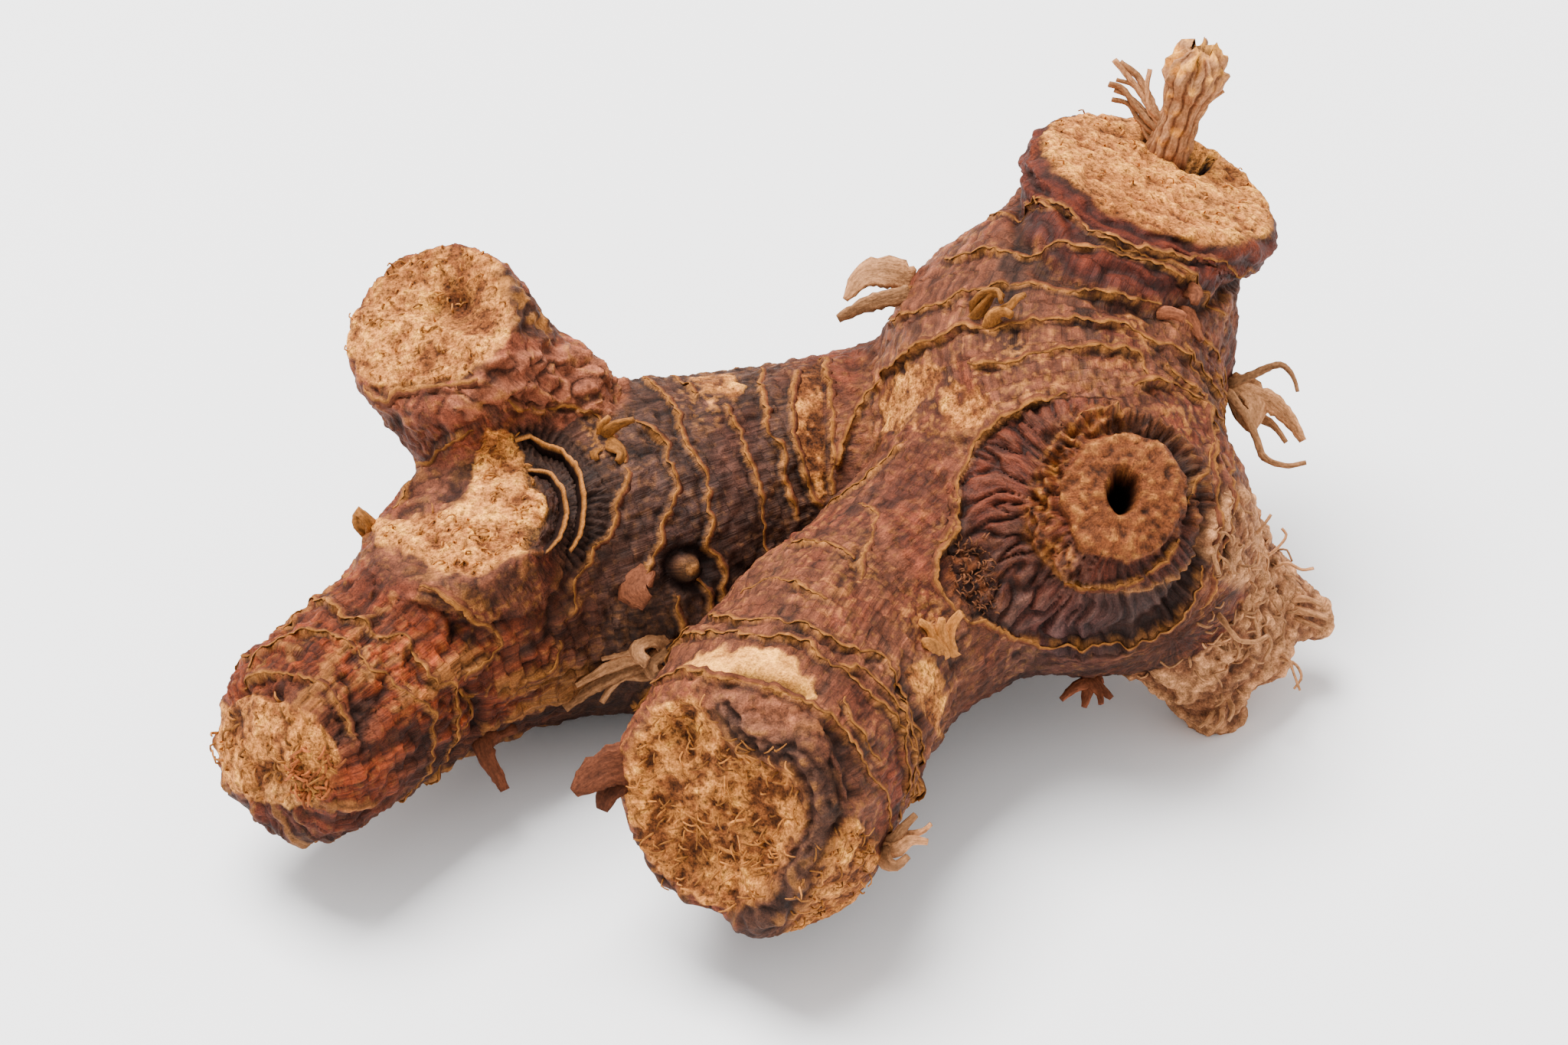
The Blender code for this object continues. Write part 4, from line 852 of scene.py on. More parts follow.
class Edge:
    """A torn edge on the skin: its spots, the ways out and forward there, and how tall it is."""

    def __init__(self, points, height, seed, limb=None, towards=None, fade=True):
        points = evenly(points, EDGE_STEP)
        if len(points) > 9:
            padded = np.vstack([points[:1]] * 3 + [points] + [points[-1:]] * 3)
            points = sum(padded[k:k + len(points)] for k in range(7)) / 7.0
        self.out = body_surface(points)["out"]
        self.height = height
        forward = np.cross(unit_rows(np.gradient(points, axis=0)), self.out)
        if towards is None:
            _, along, _ = nearest_on_limb(points, LINES[limb])
            lengths, _, _, ahead = limb_frames(LINES[limb])
            aim = read_along(along, lengths, ahead) * (TRUNK_FLIP if limb == "trunk" else 1.0)
        else:
            aim = towards - points
        if (forward * aim).sum() < 0.0:
            forward = -forward
        self.forward = unit_rows(forward)
        length = EDGE_STEP * np.arange(len(points))
        along_line = grain_grid(length, 37.0 * seed, 0.0)
        waver = (0.34 * noise(along_line, 2.6, 300) + 0.24 * noise(along_line, 1.1, 301)
                 + 0.16 * noise(along_line, 0.6, 305))
        self.fringe = 0.5 * noise(along_line, 0.9, 303) + 0.5 * noise(along_line, 0.5, 304)
        self.strength = np.clip(0.75 + 0.8 * noise(along_line, 5.0, 302)
                                + 0.6 * noise(along_line, 1.6, 306), 0.08, 1.3)
        if fade:
            ends = np.minimum(length, length[-1] - length)
            self.strength = self.strength * rise(-0.1, 1.2, ends)
        self.points = points + self.forward * waver[:, None]
        self.length = length

    def reach(self, spots, margin):
        """The spots near the edge: which they are, how far past it each is, and its strength."""
        low, high = self.points.min(axis=0) - margin, self.points.max(axis=0) + margin
        near = np.flatnonzero(((spots > low) & (spots < high)).all(axis=1))
        best = np.full(len(near), margin)
        past = np.full(len(near), -margin)
        strength = np.zeros(len(near))
        here = spots[near]
        for first in range(0, len(self.points) - 1, EDGE_BLOCK):
            stop_at = min(first + EDGE_BLOCK, len(self.points) - 1)
            group = self.points[first:stop_at + 1]
            low, high = group.min(axis=0) - margin, group.max(axis=0) + margin
            close = np.flatnonzero(((here > low) & (here < high)).all(axis=1))
            if len(close) == 0:
                continue
            for index in range(first, stop_at):
                start, stop = self.points[index], self.points[index + 1]
                step = stop - start
                length = max(step @ step, 1e-9)
                t = np.clip((here[close] - start) @ step / length, 0.0, 1.0)
                away = here[close] - start - t[:, None] * step
                gap = np.sqrt((away * away).sum(axis=1))
                closer = gap < best[close]
                chosen = close[closer]
                best[chosen] = gap[closer]
                side = away[closer] @ self.forward[index]
                past[chosen] = np.where(side > 0.0, gap[closer], -gap[closer])
                strength[chosen] = self.strength[index]
        keep = best < margin
        return near[keep], past[keep], strength[keep]


def traced(skin, line, step=5.0):
    """A traced line carried onto the skin."""
    hits = [skin.under(x, y) for x, y in evenly(line, step)]
    return np.array([hit for hit in hits if hit is not None])


def round_the_back(skin, name, hits):
    """The rest of a ring, from the end of its traced part round the hidden side to its start."""
    line = LINES[name]
    _, along, offset = nearest_on_limb(hits[[0, -1]], line)
    turn, _ = turn_round_limb(line, along, offset)
    _, middle_along, middle_offset = nearest_on_limb(hits[len(hits) // 2][None], line)
    middle, _ = turn_round_limb(line, middle_along, middle_offset)
    sweep = (turn[0] - turn[1]) % (2 * math.pi)
    if (middle[0] - turn[1]) % (2 * math.pi) < sweep:
        sweep -= 2 * math.pi
    found = []
    for t in np.linspace(0.03, 0.97, 60):
        place = along[1] + t * (along[0] - along[1])
        spot = found_on_ring(skin, line, place, turn[1] + t * sweep)
        if spot is not None:
            found.append(spot)
    return np.array(found)


def found_on_ring(skin, line, place, angle):
    """Where the skin lies at a place along a limb and an angle round it, or nothing."""
    lengths, up, side, _ = limb_frames(line)
    centre = read_along(place, lengths, line)
    way = np.cos(angle) * read_along(place, lengths, up)
    way = way + np.sin(angle) * read_along(place, lengths, side)
    return skin.outwards(centre[:3], unit(way), centre[3] + 1.6)


def split_gaps(points, most):
    """The line in parts, cut where it jumps further than the given length."""
    parts = [[points[0]]]
    for before, spot in zip(points, points[1:]):
        if np.linalg.norm(spot - before) > most:
            parts.append([])
        parts[-1].append(spot)
    return [np.array(part) for part in parts if len(part) > 5]


def torn_edges(skin):
    """All torn edges: those traced on the photograph, and more on the side it doesn't show."""
    edges = []
    for seed, (name, goes_round, height, line) in enumerate(EDGE_LINES):
        hits = traced(skin, line)
        if goes_round:
            for part in split_gaps(np.vstack([hits, round_the_back(skin, name, hits)]), 2.4):
                edges.append(Edge(part, height, seed, limb=name, fade=False))
        else:
            for part in split_gaps(hits, 2.4):
                edges.append(Edge(part, height, seed, limb=name))
    seed = 100
    for name, places in HIDDEN_RINGS.items():
        for place in places:
            seed += 1
            spots = [found_on_ring(skin, LINES[name], place + 0.8 * math.sin(2 * angle), angle)
                     for angle in np.linspace(0.0, 2 * math.pi, 90)]
            spots = np.array([spot for spot in spots if spot is not None])
            out = body_surface(spots)["out"]
            hidden = spots[(out @ LOOK > 0.12) & (spots[:, 2] > 1.0)]
            if len(hidden) > 8:
                for part in split_gaps(hidden, 3.0):
                    edges.append(Edge(part, 0.45, seed, limb=name))
    for height, line in EYE_LINES:
        seed += 1
        edges.append(Edge(traced(skin, line), height, seed, towards=EYE_PLACE))
    return edges


def limb_grain(surface):
    """Spots in a limb's own measure, in millimetres along it and across it."""
    turn = surface["turn"]
    return grain_grid(surface["along"] + 41.3 * surface["owner"], GRAIN_RADIUS * np.cos(turn),
                      GRAIN_RADIUS * np.sin(turn))


def eye_frame(spots):
    """Across, up and out of each spot in the eye's own frame."""
    way = unit(EYE_WAY)
    right = unit(np.cross((0.0, 0.0, 1.0), way))
    away = spots - EYE_PLACE
    return away @ right, away @ np.cross(way, right), away @ way


def mix(colour, other, amount):
    """One colour turned towards another by an amount for each spot."""
    amount = np.clip(amount, 0.0, 1.0)[:, None]
    return colour * (1.0 - amount) + other * amount


def pixels_from(pixels, x, y):
    """How far each pixel is from one place."""
    return np.hypot(pixels[:, 0] - x, pixels[:, 1] - y)


def blob(pixels, x, y, radius, power=2.0):
    """1 at a pixel, fading to 0 beyond a radius."""
    return np.exp(-(pixels_from(pixels, x, y) / radius) ** power)


def pits(pixels, places):
    """Several hollows together, each as deep as its share."""
    return sum(share * blob(pixels, x, y, radius) for x, y, radius, share in places)


def thin_lines(spots, cell, seed, width):
    """1 on a wandering net of lines, fading to 0 beside them."""
    return 1.0 - rise(0.0, width, np.abs(noise(spots, cell, seed)))


class Coat:
    """The skin's height, colour, gloss and rawness, gathered one feature after another."""

    def __init__(self, spots, surface):
        self.spots = spots
        self.surface = surface
        self.names = np.array(NAMES)[surface["owner"]]
        self.left, self.scar = self.on("left", "belly"), self.on("scar")
        self.knob, self.front = self.on("knob", "knob heel"), self.on("front", "toe")
        self.trunk = self.on("trunk", "heel")
        self.out = surface["out"]
        self.pixels = to_pixels(spots)
        self.facing = rise(0.0, 0.14, -(self.out @ LOOK))
        self.alone = rise(0.0, 1.6, surface["alone"])
        count = len(spots)
        self.height = sum(amount * lump_noise(spots, cell, seed) for cell, amount, seed in LUMPS)
        self.colour = np.tile(BARK, (count, 1))
        self.gloss = np.full(count, 0.35)
        self.raw = np.zeros(count)
        self.grain = limb_grain(surface)
        self.coarse = {size: noise(spots, size, 50 + k)
                       for k, size in enumerate((9.0, 5.0, 2.6, 1.3, 0.7))}

    def on(self, *names):
        """Which spots lie on the named limbs."""
        return np.isin(self.names, names)

    def inside(self, outline, waver=1.0):
        """Millimetres inside a traced outline, with a ragged rim."""
        depth = inside_patch(self.pixels, outline) / PIXELS_PER_MM
        return depth + waver * (0.30 * self.coarse[1.3] + 0.22 * self.coarse[0.7])

    def near(self, line, width):
        """1 on a traced line, fading over a width in millimetres."""
        gap, _ = line_gap(self.pixels, line)
        gap = gap / PIXELS_PER_MM + 0.25 * self.coarse[1.3]
        return ridge(gap, width) * self.facing

    def near_any(self, lines, width):
        """1 on any of several traced lines."""
        return np.max([self.near(line, width) for line in lines], axis=0)

    def patch(self, x, y, radius, power=2.0):
        """1 at a pixel, on the side that the photograph shows, fading to 0 beyond a radius."""
        return self.facing * blob(self.pixels, x, y, radius, power)

    def paint(self, colour, amount):
        """The colour laid over the spots by an amount for each."""
        self.colour = mix(self.colour, colour, amount)


def coat_bark(coat):
    """Wrinkled bark: fine creases along the limbs, and a colour for each part of the root, with
    painted shade in its creases, cracks and folds, under it and where limbs meet, and painted
    light on its raised puffs.
    """
    spots, coarse, grain = coat.spots, coat.coarse, coat.grain
    stretched = grain * np.array([0.22, 1.0, 1.0]) + 0.35 * coarse[2.6][:, None]
    creases = noise(stretched, 1.5, 60)
    fine_creases = noise(stretched, 0.7, 61)
    folds = 1.0 - 2.0 * np.abs(noise(stretched + 9.0, 2.6, 63))
    across = noise(grain * np.array([1.0, 0.3, 0.3]), 0.8, 62)
    deep = 0.6 + 0.6 * coarse[9.0]
    wrinkle = 0.55 * creases + 0.35 * fine_creases + 0.35 * folds
    relief = 0.24 * wrinkle * deep + 0.06 * across + 0.10 * coarse[1.3] + 0.06 * coarse[0.7]
    limb_lengths = np.array([limb_frames(LINES[name])[0][-1] for name in NAMES])
    to_end = limb_lengths[coat.surface["owner"]] - coat.surface["along"]
    off_end = rise(0.2, 3.0, to_end)
    coat.crease = coat.alone * rise(0.6, 2.4, coat.surface["below_cut"]) * off_end
    plain = 1.0 - coat.crease
    squeezed = spots * np.array([0.75, 1.0, 0.7]) + 0.4 * coarse[2.6][:, None]
    cracks = thin_lines(stretched, 1.9, 67, 0.16) * rise(-0.5, 0.4, coarse[5.0])
    cracks = coat.crease * np.maximum(cracks, 0.6 * thin_lines(stretched, 1.0, 68, 0.16))
    crumples = np.maximum(thin_lines(squeezed, 2.1, 69, 0.20),
                          0.7 * thin_lines(squeezed, 1.0, 70, 0.2))
    cracks = np.maximum(cracks, plain * crumples)
    puffs = noise(squeezed, 1.6, 71)
    coat.height += relief * coat.crease + 0.12 * coarse[1.3] + 0.07 * coarse[0.7]
    coat.height += 0.32 * plain * puffs - 0.17 * cracks

    along = coat.surface["along"]
    left, knob, scar, front, trunk = coat.left, coat.knob, coat.scar, coat.front, coat.trunk
    coat.paint(BARK_LIGHT, rise(-0.1, 0.9, coarse[5.0] + 0.4 * coarse[1.3]))
    coat.paint(BARK_RED, 0.85 * rise(-0.2, 0.7, noise(spots, 7.0, 64) + 0.3 * coarse[2.6]))
    left_gap, left_along, _ = nearest_on_limb(spots, LINES["left"])
    grey = rise(42.0, 34.0, left_along) * rise(6.0, 16.0, left_along)
    grey = grey * rise(5.0, 0.5, left_gap) * (left | knob | scar) * (1.0 - 0.6 * scar)
    coat.paint(BARK_GREY, grey * (0.85 + 0.25 * coarse[5.0]))
    orange = left * rise(40.0, 47.0, along) * rise(8.0, 12.0, spots[:, 2])
    coat.paint(BARK_ORANGE, orange * rise(-0.9, 0.2, coarse[5.0]) * 0.95)
    coat.paint(BARK_LIGHT * np.array([1.1, 0.85, 0.8]),
               0.75 * knob * rise(19.0, 27.0, spots[:, 2]))
    coat.paint(BARK_GREY, 0.4 * rise(0.2, 0.9, coarse[9.0]) * (trunk + front))
    scurf = rise(0.22, 0.6, noise(spots, 0.5, 65) + 0.4 * coarse[5.0] + 0.15 * wrinkle)
    coat.paint(EDGE_TAN * 0.9, 0.45 * scurf * (1.0 - 0.6 * grey) * (1.0 - 0.5 * orange))
    # Painted shade in the creases' valleys and in the cracks
    coat.paint(BARK_DARK, 0.85 * rise(-0.02, -0.5, wrinkle) * coat.crease)
    coat.paint(DEEP_BARK_AND_SHADE, 0.6 * rise(-0.35, -0.9, wrinkle) * coat.crease)
    coat.paint(DEEP_BARK_AND_SHADE * 0.9, 0.75 * cracks)
    # Tan on the raised puffs: the bark's tan scurf and painted light
    coat.paint(EDGE_TAN * 0.7, 0.35 * plain * rise(0.25, 0.6, puffs))
    # Painted shade on the undersides that face down
    low = rise(0.2, -0.7, coat.out[:, 2])
    coat.paint(DEEP_BARK_AND_SHADE, 0.65 * low)
    coat.paint(BARK_RED * 0.85, 0.55 * coat.patch(*RED_PATCH))
    coat.paint(BARK_LIGHT * 1.3, 0.6 * front * coat.patch(*PALE_END))
    top = front * coat.patch(*PALE_TOP, 4.0)
    coat.paint(BARK_LIGHT * np.array([1.3, 1.15, 1.0]),
               0.4 * top * rise(-0.8, 0.5, coarse[5.0]))
    flecks = noise(spots, 0.5, 76) + 0.5 * coarse[2.6] + 0.3 * coarse[1.3]
    for x, y, size in FLECKED:
        coat.paint(EDGE_TAN * 1.2, 0.7 * coat.patch(x, y, size, 3.0) * rise(0.12, 0.4, flecks))
    # Painted shade where the limbs run into each other
    junction_shade = rise(2.6, 0.0, coat.surface["alone"])
    coat.paint(DEEP_BARK_AND_SHADE, 0.35 * junction_shade * (left + 0.3 * trunk))
    coat.gloss += 0.2 * coarse[5.0]
    mottle = noise(spots, 1.7, 73) + 0.7 * noise(spots, 0.8, 74) + 0.4 * coarse[5.0]
    coat.colour = coat.colour * np.exp(0.50 * mottle)[:, None]
    tip = left * rise(34.0, 42.0, along)
    rumple = noise(stretched + 3.0, 2.4, 66)
    folded = thin_lines(stretched, 1.7, 72, 0.13)
    coat.height += tip * (0.45 * rumple - 0.22 * folded + 0.12 * coarse[1.3])
    # Painted shade in the tip's folds and low rumples, and the bark's tan with painted light on
    # their crests
    coat.paint(DEEP_BARK_AND_SHADE, 0.8 * tip * np.maximum(folded, rise(-0.2, -0.6, rumple)))
    coat.paint(EDGE_TAN, 0.5 * tip * rise(0.38, 0.6, rumple + 0.3 * coarse[0.7]))


def coat_edges(coat, edges):
    """A step, a tan rim and a dark gap of painted shadow at each torn edge."""
    count = len(coat.spots)
    rim, gap, lift = np.zeros(count), np.zeros(count), np.zeros(count)
    for edge in edges:
        near, past, strength = edge.reach(coat.spots, EDGE_MARGIN)
        past = past + 0.12 * coat.coarse[0.7][near]
        tall = strength * edge.height
        sheath = rise(-2.2, -0.2, past) * (1.0 - rise(-0.05, 0.14, past))
        lift[near] += tall * (0.48 * sheath) - 0.16 * strength * ridge(past - 0.28, 0.22)
        rim[near] = np.maximum(rim[near], strength * rise(-0.5, -0.12, past)
                               * (1.0 - rise(0.02, 0.16, past)))
        # The dark gap is a painted shadow under the edge's lip
        gap[near] = np.maximum(gap[near], np.sqrt(np.clip(strength, 0, 1))
                               * (0.8 * ridge(past - 0.26, 0.20)
                                  + (0.10 + 0.35 * edge.height) * ridge(past - 0.42, 0.42)))
    coat.height += lift
    coat.paint(EDGE_TAN, rim * (0.6 + 0.8 * coat.coarse[0.7] + 0.6 * coat.coarse[1.3]))
    # Painted shadow beside each torn edge
    coat.paint(EDGE_DARK, 0.65 * gap)


def coat_eye(coat):
    """The ribbed eye with its grainy pith, and the fans of wrinkles round it, with painted shade
    between its ribs, below the fan and in its groove, crevice, hole and pocket, and painted
    highlight and sheen on its ribs.
    """
    spots, coarse = coat.spots, coat.coarse
    x, y, eye_out = eye_frame(spots)
    front = rise(-9.0, -7.0, eye_out) * coat.on("trunk", "front")
    rim = np.hypot(x * 0.98, y) + 0.3 * coarse[2.6]
    inside = rise(-0.3, 0.3, EYE_RADIUS - rim) * front
    pith_x, pith_y = x - PITH_OFFSET[0], y - PITH_OFFSET[1]
    away = np.hypot(pith_x, pith_y)
    turn = np.arctan2(pith_y, pith_x)
    left = rise(-0.15, 0.55, -np.cos(turn))
    fan_edge = away + 0.35 * coarse[1.3] + 0.2 * coarse[0.7] + 0.5 * coarse[2.6] * left
    swirl = turn + 0.09 * coarse[5.0] + 0.035 * coarse[2.6]
    ribs = 0.6 * np.cos(58.0 * swirl) + 0.45 * np.cos(37.0 * swirl + 1.2)
    radial = np.stack([away * 0.22, 7.5 * np.cos(swirl), 7.5 * np.sin(swirl)], axis=1)
    wrinkles = 0.8 - 1.7 * thin_lines(radial, 0.85, 46, 0.24) + 0.6 * noise(radial, 0.4, 47)
    ribs = ribs * (1.0 - left) + wrinkles * left
    beyond = rise(PITH_RADIUS - 0.3, PITH_RADIUS + 0.5, fan_edge)
    lift = 0.30 * ribs * beyond
    lower = rise(0.5, -1.5, y)
    fan = 1.0 - rise(FAN_RADIUS - 0.1, FAN_RADIUS + 0.2, fan_edge)
    lift += 0.75 * fan * lower + 0.35 * rise(11.0, 7.0, away) * (1.0 - lower)
    pith = 1.0 - rise(PITH_RADIUS - 0.5, PITH_RADIUS + 0.25, fan_edge)
    grains = 0.20 * noise(spots, 0.85, 48) + 0.17 * noise(spots, 0.5, 49)
    dome = np.sqrt(np.clip(1.0 - ((away - 3.0) / 2.6) ** 2, 0.0, 1.0))
    lift += pith * (0.5 + 0.75 * dome + grains)
    upper = rise(-0.5, 1.5, pith_y + 0.5 * pith_x) * rise(-0.75, -0.3, np.cos(turn))
    groove = ridge(fan_edge - 5.45, 0.28) * upper
    outer_ring = ridge(fan_edge - 6.5, 0.65) * upper
    lift += -0.5 * groove + outer_ring * (0.7 + 0.9 * grains)
    hole_gap = np.hypot(pith_x, pith_y / 1.5) + 0.2 * coarse[0.7]
    hole = 1.0 - rise(0.7, 1.25, hole_gap)
    crevice = ridge(EYE_RADIUS - rim - 1.0, 0.8) * rise(-0.5, 0.4, np.cos(turn + 0.2))
    lift -= 1.3 * crevice
    lumps = coat.near(EYE_GRAINS, 1.15)
    lift += lumps * (0.7 + 1.4 * noise(spots, 0.9, 91))
    coat.height = coat.height * (1.0 - 0.7 * inside) + inside * lift - 5.0 * hole * front

    colour = np.tile(EYE_RED, (len(spots), 1))
    colour = mix(colour, BARK_RED * 0.9,
                 left * rise(-0.3, 0.7, coarse[2.6] + 0.3 * wrinkles))
    # Painted shade below the raised fan
    colour = mix(colour, FAN_DARK, lower * (1.0 - fan) * (1.0 - 0.6 * left))
    # Painted shade between the ribs, and painted highlight and grey sheen on their crests
    colour = mix(colour, DEEP_BARK_AND_SHADE, 0.9 * rise(0.05, -0.8, ribs) * beyond)
    colour = mix(colour, BARK_LIGHT, 0.3 * rise(0.5, 1.2, ribs) * beyond * left)
    colour = mix(colour, BARK_GREY * 2.4, 0.4 * rise(0.45, 1.0, ribs) * lower * beyond)
    grainy = np.clip(pith + outer_ring, 0.0, 1.0)
    colour = mix(colour, PITH_BROWN, grainy)
    colour = mix(colour, PITH * 0.68, grainy * rise(0.03, 0.24, grains))
    colour = mix(colour, PITH_DARK, grainy * rise(0.0, -0.22, grains))
    # Painted shade in the groove and the crevice
    colour = mix(colour, DEEP_BARK_AND_SHADE, 0.8 * groove)
    colour = mix(colour, DEEP_BARK_AND_SHADE, 0.9 * crevice)
    ledge = ridge(fan_edge - FAN_RADIUS, 0.3) * rise(1.0, -2.0, y)
    colour = mix(colour, EDGE_TAN, 0.7 * ledge)
    colour = mix(colour, PITH_BROWN * 1.1, 0.85 * lumps)
    colour = mix(colour, PITH * 0.7, lumps * rise(0.1, 0.4, noise(spots, 0.6, 89)))
    colour = mix(colour, PITH_DARK, lumps * rise(-0.1, -0.4, noise(spots, 0.6, 89)))
    # Painted shade in the hole
    colour = mix(colour, EDGE_DARK * 0.3, rise(0.1, 0.75, hole))
    coat.paint(colour, inside)
    coat.raw = np.maximum(coat.raw, 0.5 * pith * inside * (1 - hole))
    coat.crease = np.maximum(coat.crease, inside * beyond)
    coat.gloss = coat.gloss * (1 - inside) + inside * (0.25 + 0.3 * (1 - pith))
    coat.grain = np.where((inside > 0.5)[:, None], radial * np.array([4.5, 1.0, 1.0]), coat.grain)
    # Painted shade in the pocket, with brown fibre over it
    pocket = blob(coat.pixels, *POCKET)
    coat.height -= 0.9 * pocket * coat.facing
    coat.paint(EDGE_DARK, 0.75 * pocket)
    coat.paint(PITH_BROWN * 1.2,
               0.9 * pocket * rise(0.0, 0.5, coarse[0.7] + 0.4 * coarse[1.3]))


def coat_cuts(coat):
    """The raw cut faces and tan patches traced on the photograph."""
    spots, coarse = coat.spots, coat.coarse
    left, knob, scar, front, trunk = coat.left, coat.knob, coat.scar, coat.front, coat.trunk
    grains = 0.5 * noise(spots, 1.1, 80) + 0.45 * noise(spots, 0.6, 81)
    clumps = noise(spots, 2.4, 84)
    cuts = (
        (FRONT_FACE, front, 0.62, 0.32), (SECOND_FACET, front, 0.60, 0.25),
        (LEFT_END, left, 0.35, 0.16), (KNOB_FACE, knob, 0.30, 0.20),
        (SADDLE, scar | left | knob, 0.20, 0.18), (SLICE, front, -0.2, 0.10),
        (STEM_FACE, trunk, 0.10, 0.34), (OVAL_ONE, trunk, 0.55, 0.14),
        (OVAL_TWO, trunk, 0.50, 0.14), (TORN_STRIP, left, 0.95, 0.14),
        (TOP_PATCH, left, 0.4, 0.12), (FLAP, front, 0.25, 0.28),
    )
    for outline, owners, brown, rough in cuts:
        on = rise(-0.15, 0.25, coat.inside(outline)) * owners * coat.facing
        if outline is STEM_FACE:
            on = np.maximum(on, rise(0.8, 0.3, coat.surface["below_cut"]) * trunk)
        if outline in (OVAL_ONE, OVAL_TWO, TOP_PATCH):
            on = on * rise(-0.9, 0.3, grains + clumps + 0.4)
        raw = np.tile(PITH, (len(spots), 1))
        tone = grains + 0.5 * clumps + 0.25 * coarse[5.0]
        raw = mix(raw, PITH_LIGHT, rise(0.0, 0.5, tone - 0.6 * max(brown, 0)))
        raw = mix(raw, PITH_LIGHT, max(-2.0 * brown, 0.0) * np.ones(len(spots)))
        start = 0.75 * brown - 0.10
        raw = mix(raw, PITH_BROWN, 0.9 * rise(start, start - 0.75, tone + 0.3 * clumps))
        dark = rise(start - 0.5, start - 1.0, grains + 0.6 * clumps)
        raw = mix(raw, PITH_DARK, (0.45 + 0.4 * brown) * dark)
        coat.paint(raw, on)
        coat.height = coat.height * (1 - 0.7 * on) + on * rough * (grains + 0.7 * clumps)
        coat.raw = np.maximum(coat.raw, on * (0.55 if outline is SLICE else 1.0))
        coat.gloss = coat.gloss * (1 - on)


def coat_stem(coat):
    """The rolled red collar under the cut stem, and the hollow round its core, with painted shade
    under the roll and in the hollow.
    """
    spots, coarse, trunk = coat.spots, coat.coarse, coat.trunk
    below = coat.surface["below_cut"] + 0.35 * coarse[2.6]
    collar = trunk * rise(0.25, 0.7, below) * rise(COLLAR_DEPTH + 0.4, COLLAR_DEPTH - 0.3, below)
    coat.paint(COLLAR_RED, 0.97 * collar)
    coat.paint(BARK_RED * 1.1,
               0.6 * collar * rise(0.1, 0.8, coarse[2.6] + 0.4 * coarse[1.3]))
    coat.paint(DEEP_BARK_AND_SHADE, collar * rise(-0.1, -0.9, coarse[1.3] + 0.5 * coarse[2.6]) * 0.6)
    coat.gloss = coat.gloss + 0.1 * collar
    layers = np.cos(4.2 * below + 2.2 * coarse[5.0] + 1.2 * coarse[2.6])
    coat.height += 0.16 * layers * collar
    coat.paint(DEEP_BARK_AND_SHADE, 0.7 * collar * rise(-0.35, -0.95, layers))
    coat.paint(BARK_ORANGE * 0.8, 0.45 * collar * rise(0.3, 1.0, layers))
    roll = np.clip((below - 0.2) / COLLAR_DEPTH, 0.0, 1.0)
    coat.height += 0.9 * np.sin(np.pi * roll) * trunk
    # Painted shade in the groove under the roll
    under = ridge(below - COLLAR_DEPTH - 0.6, 0.5) * trunk
    coat.height -= 0.8 * under
    coat.paint(EDGE_DARK, 0.8 * under)
    lip = ridge(below - 0.25, 0.3) * trunk * rise(0.2, 0.6, below + 0.3)
    coat.paint(EDGE_TAN * 0.6, 0.35 * lip)
    way = unit(STEM_CUT[1])
    away = spots - HOLLOW_PLACE
    across = np.linalg.norm(away - (away @ way)[:, None] * way, axis=1) + 0.25 * coarse[1.3]
    hollow = rise(1.6, 0.4, coat.surface["below_cut"]) * trunk
    hollow = hollow * rise(HOLLOW_RADIUS * 1.1, HOLLOW_RADIUS * 0.75, across)
    mouth = coat.patch(*HOLLOW_MOUTH, 4.0) * trunk
    hollow = np.maximum(hollow, mouth * rise(1.6, 0.4, coat.surface["below_cut"]))
    coat.height -= 5.0 * hollow
    # Painted shade in the hollow
    coat.paint(PITH_DARK * 0.35, rise(0.02, 0.3, hollow))


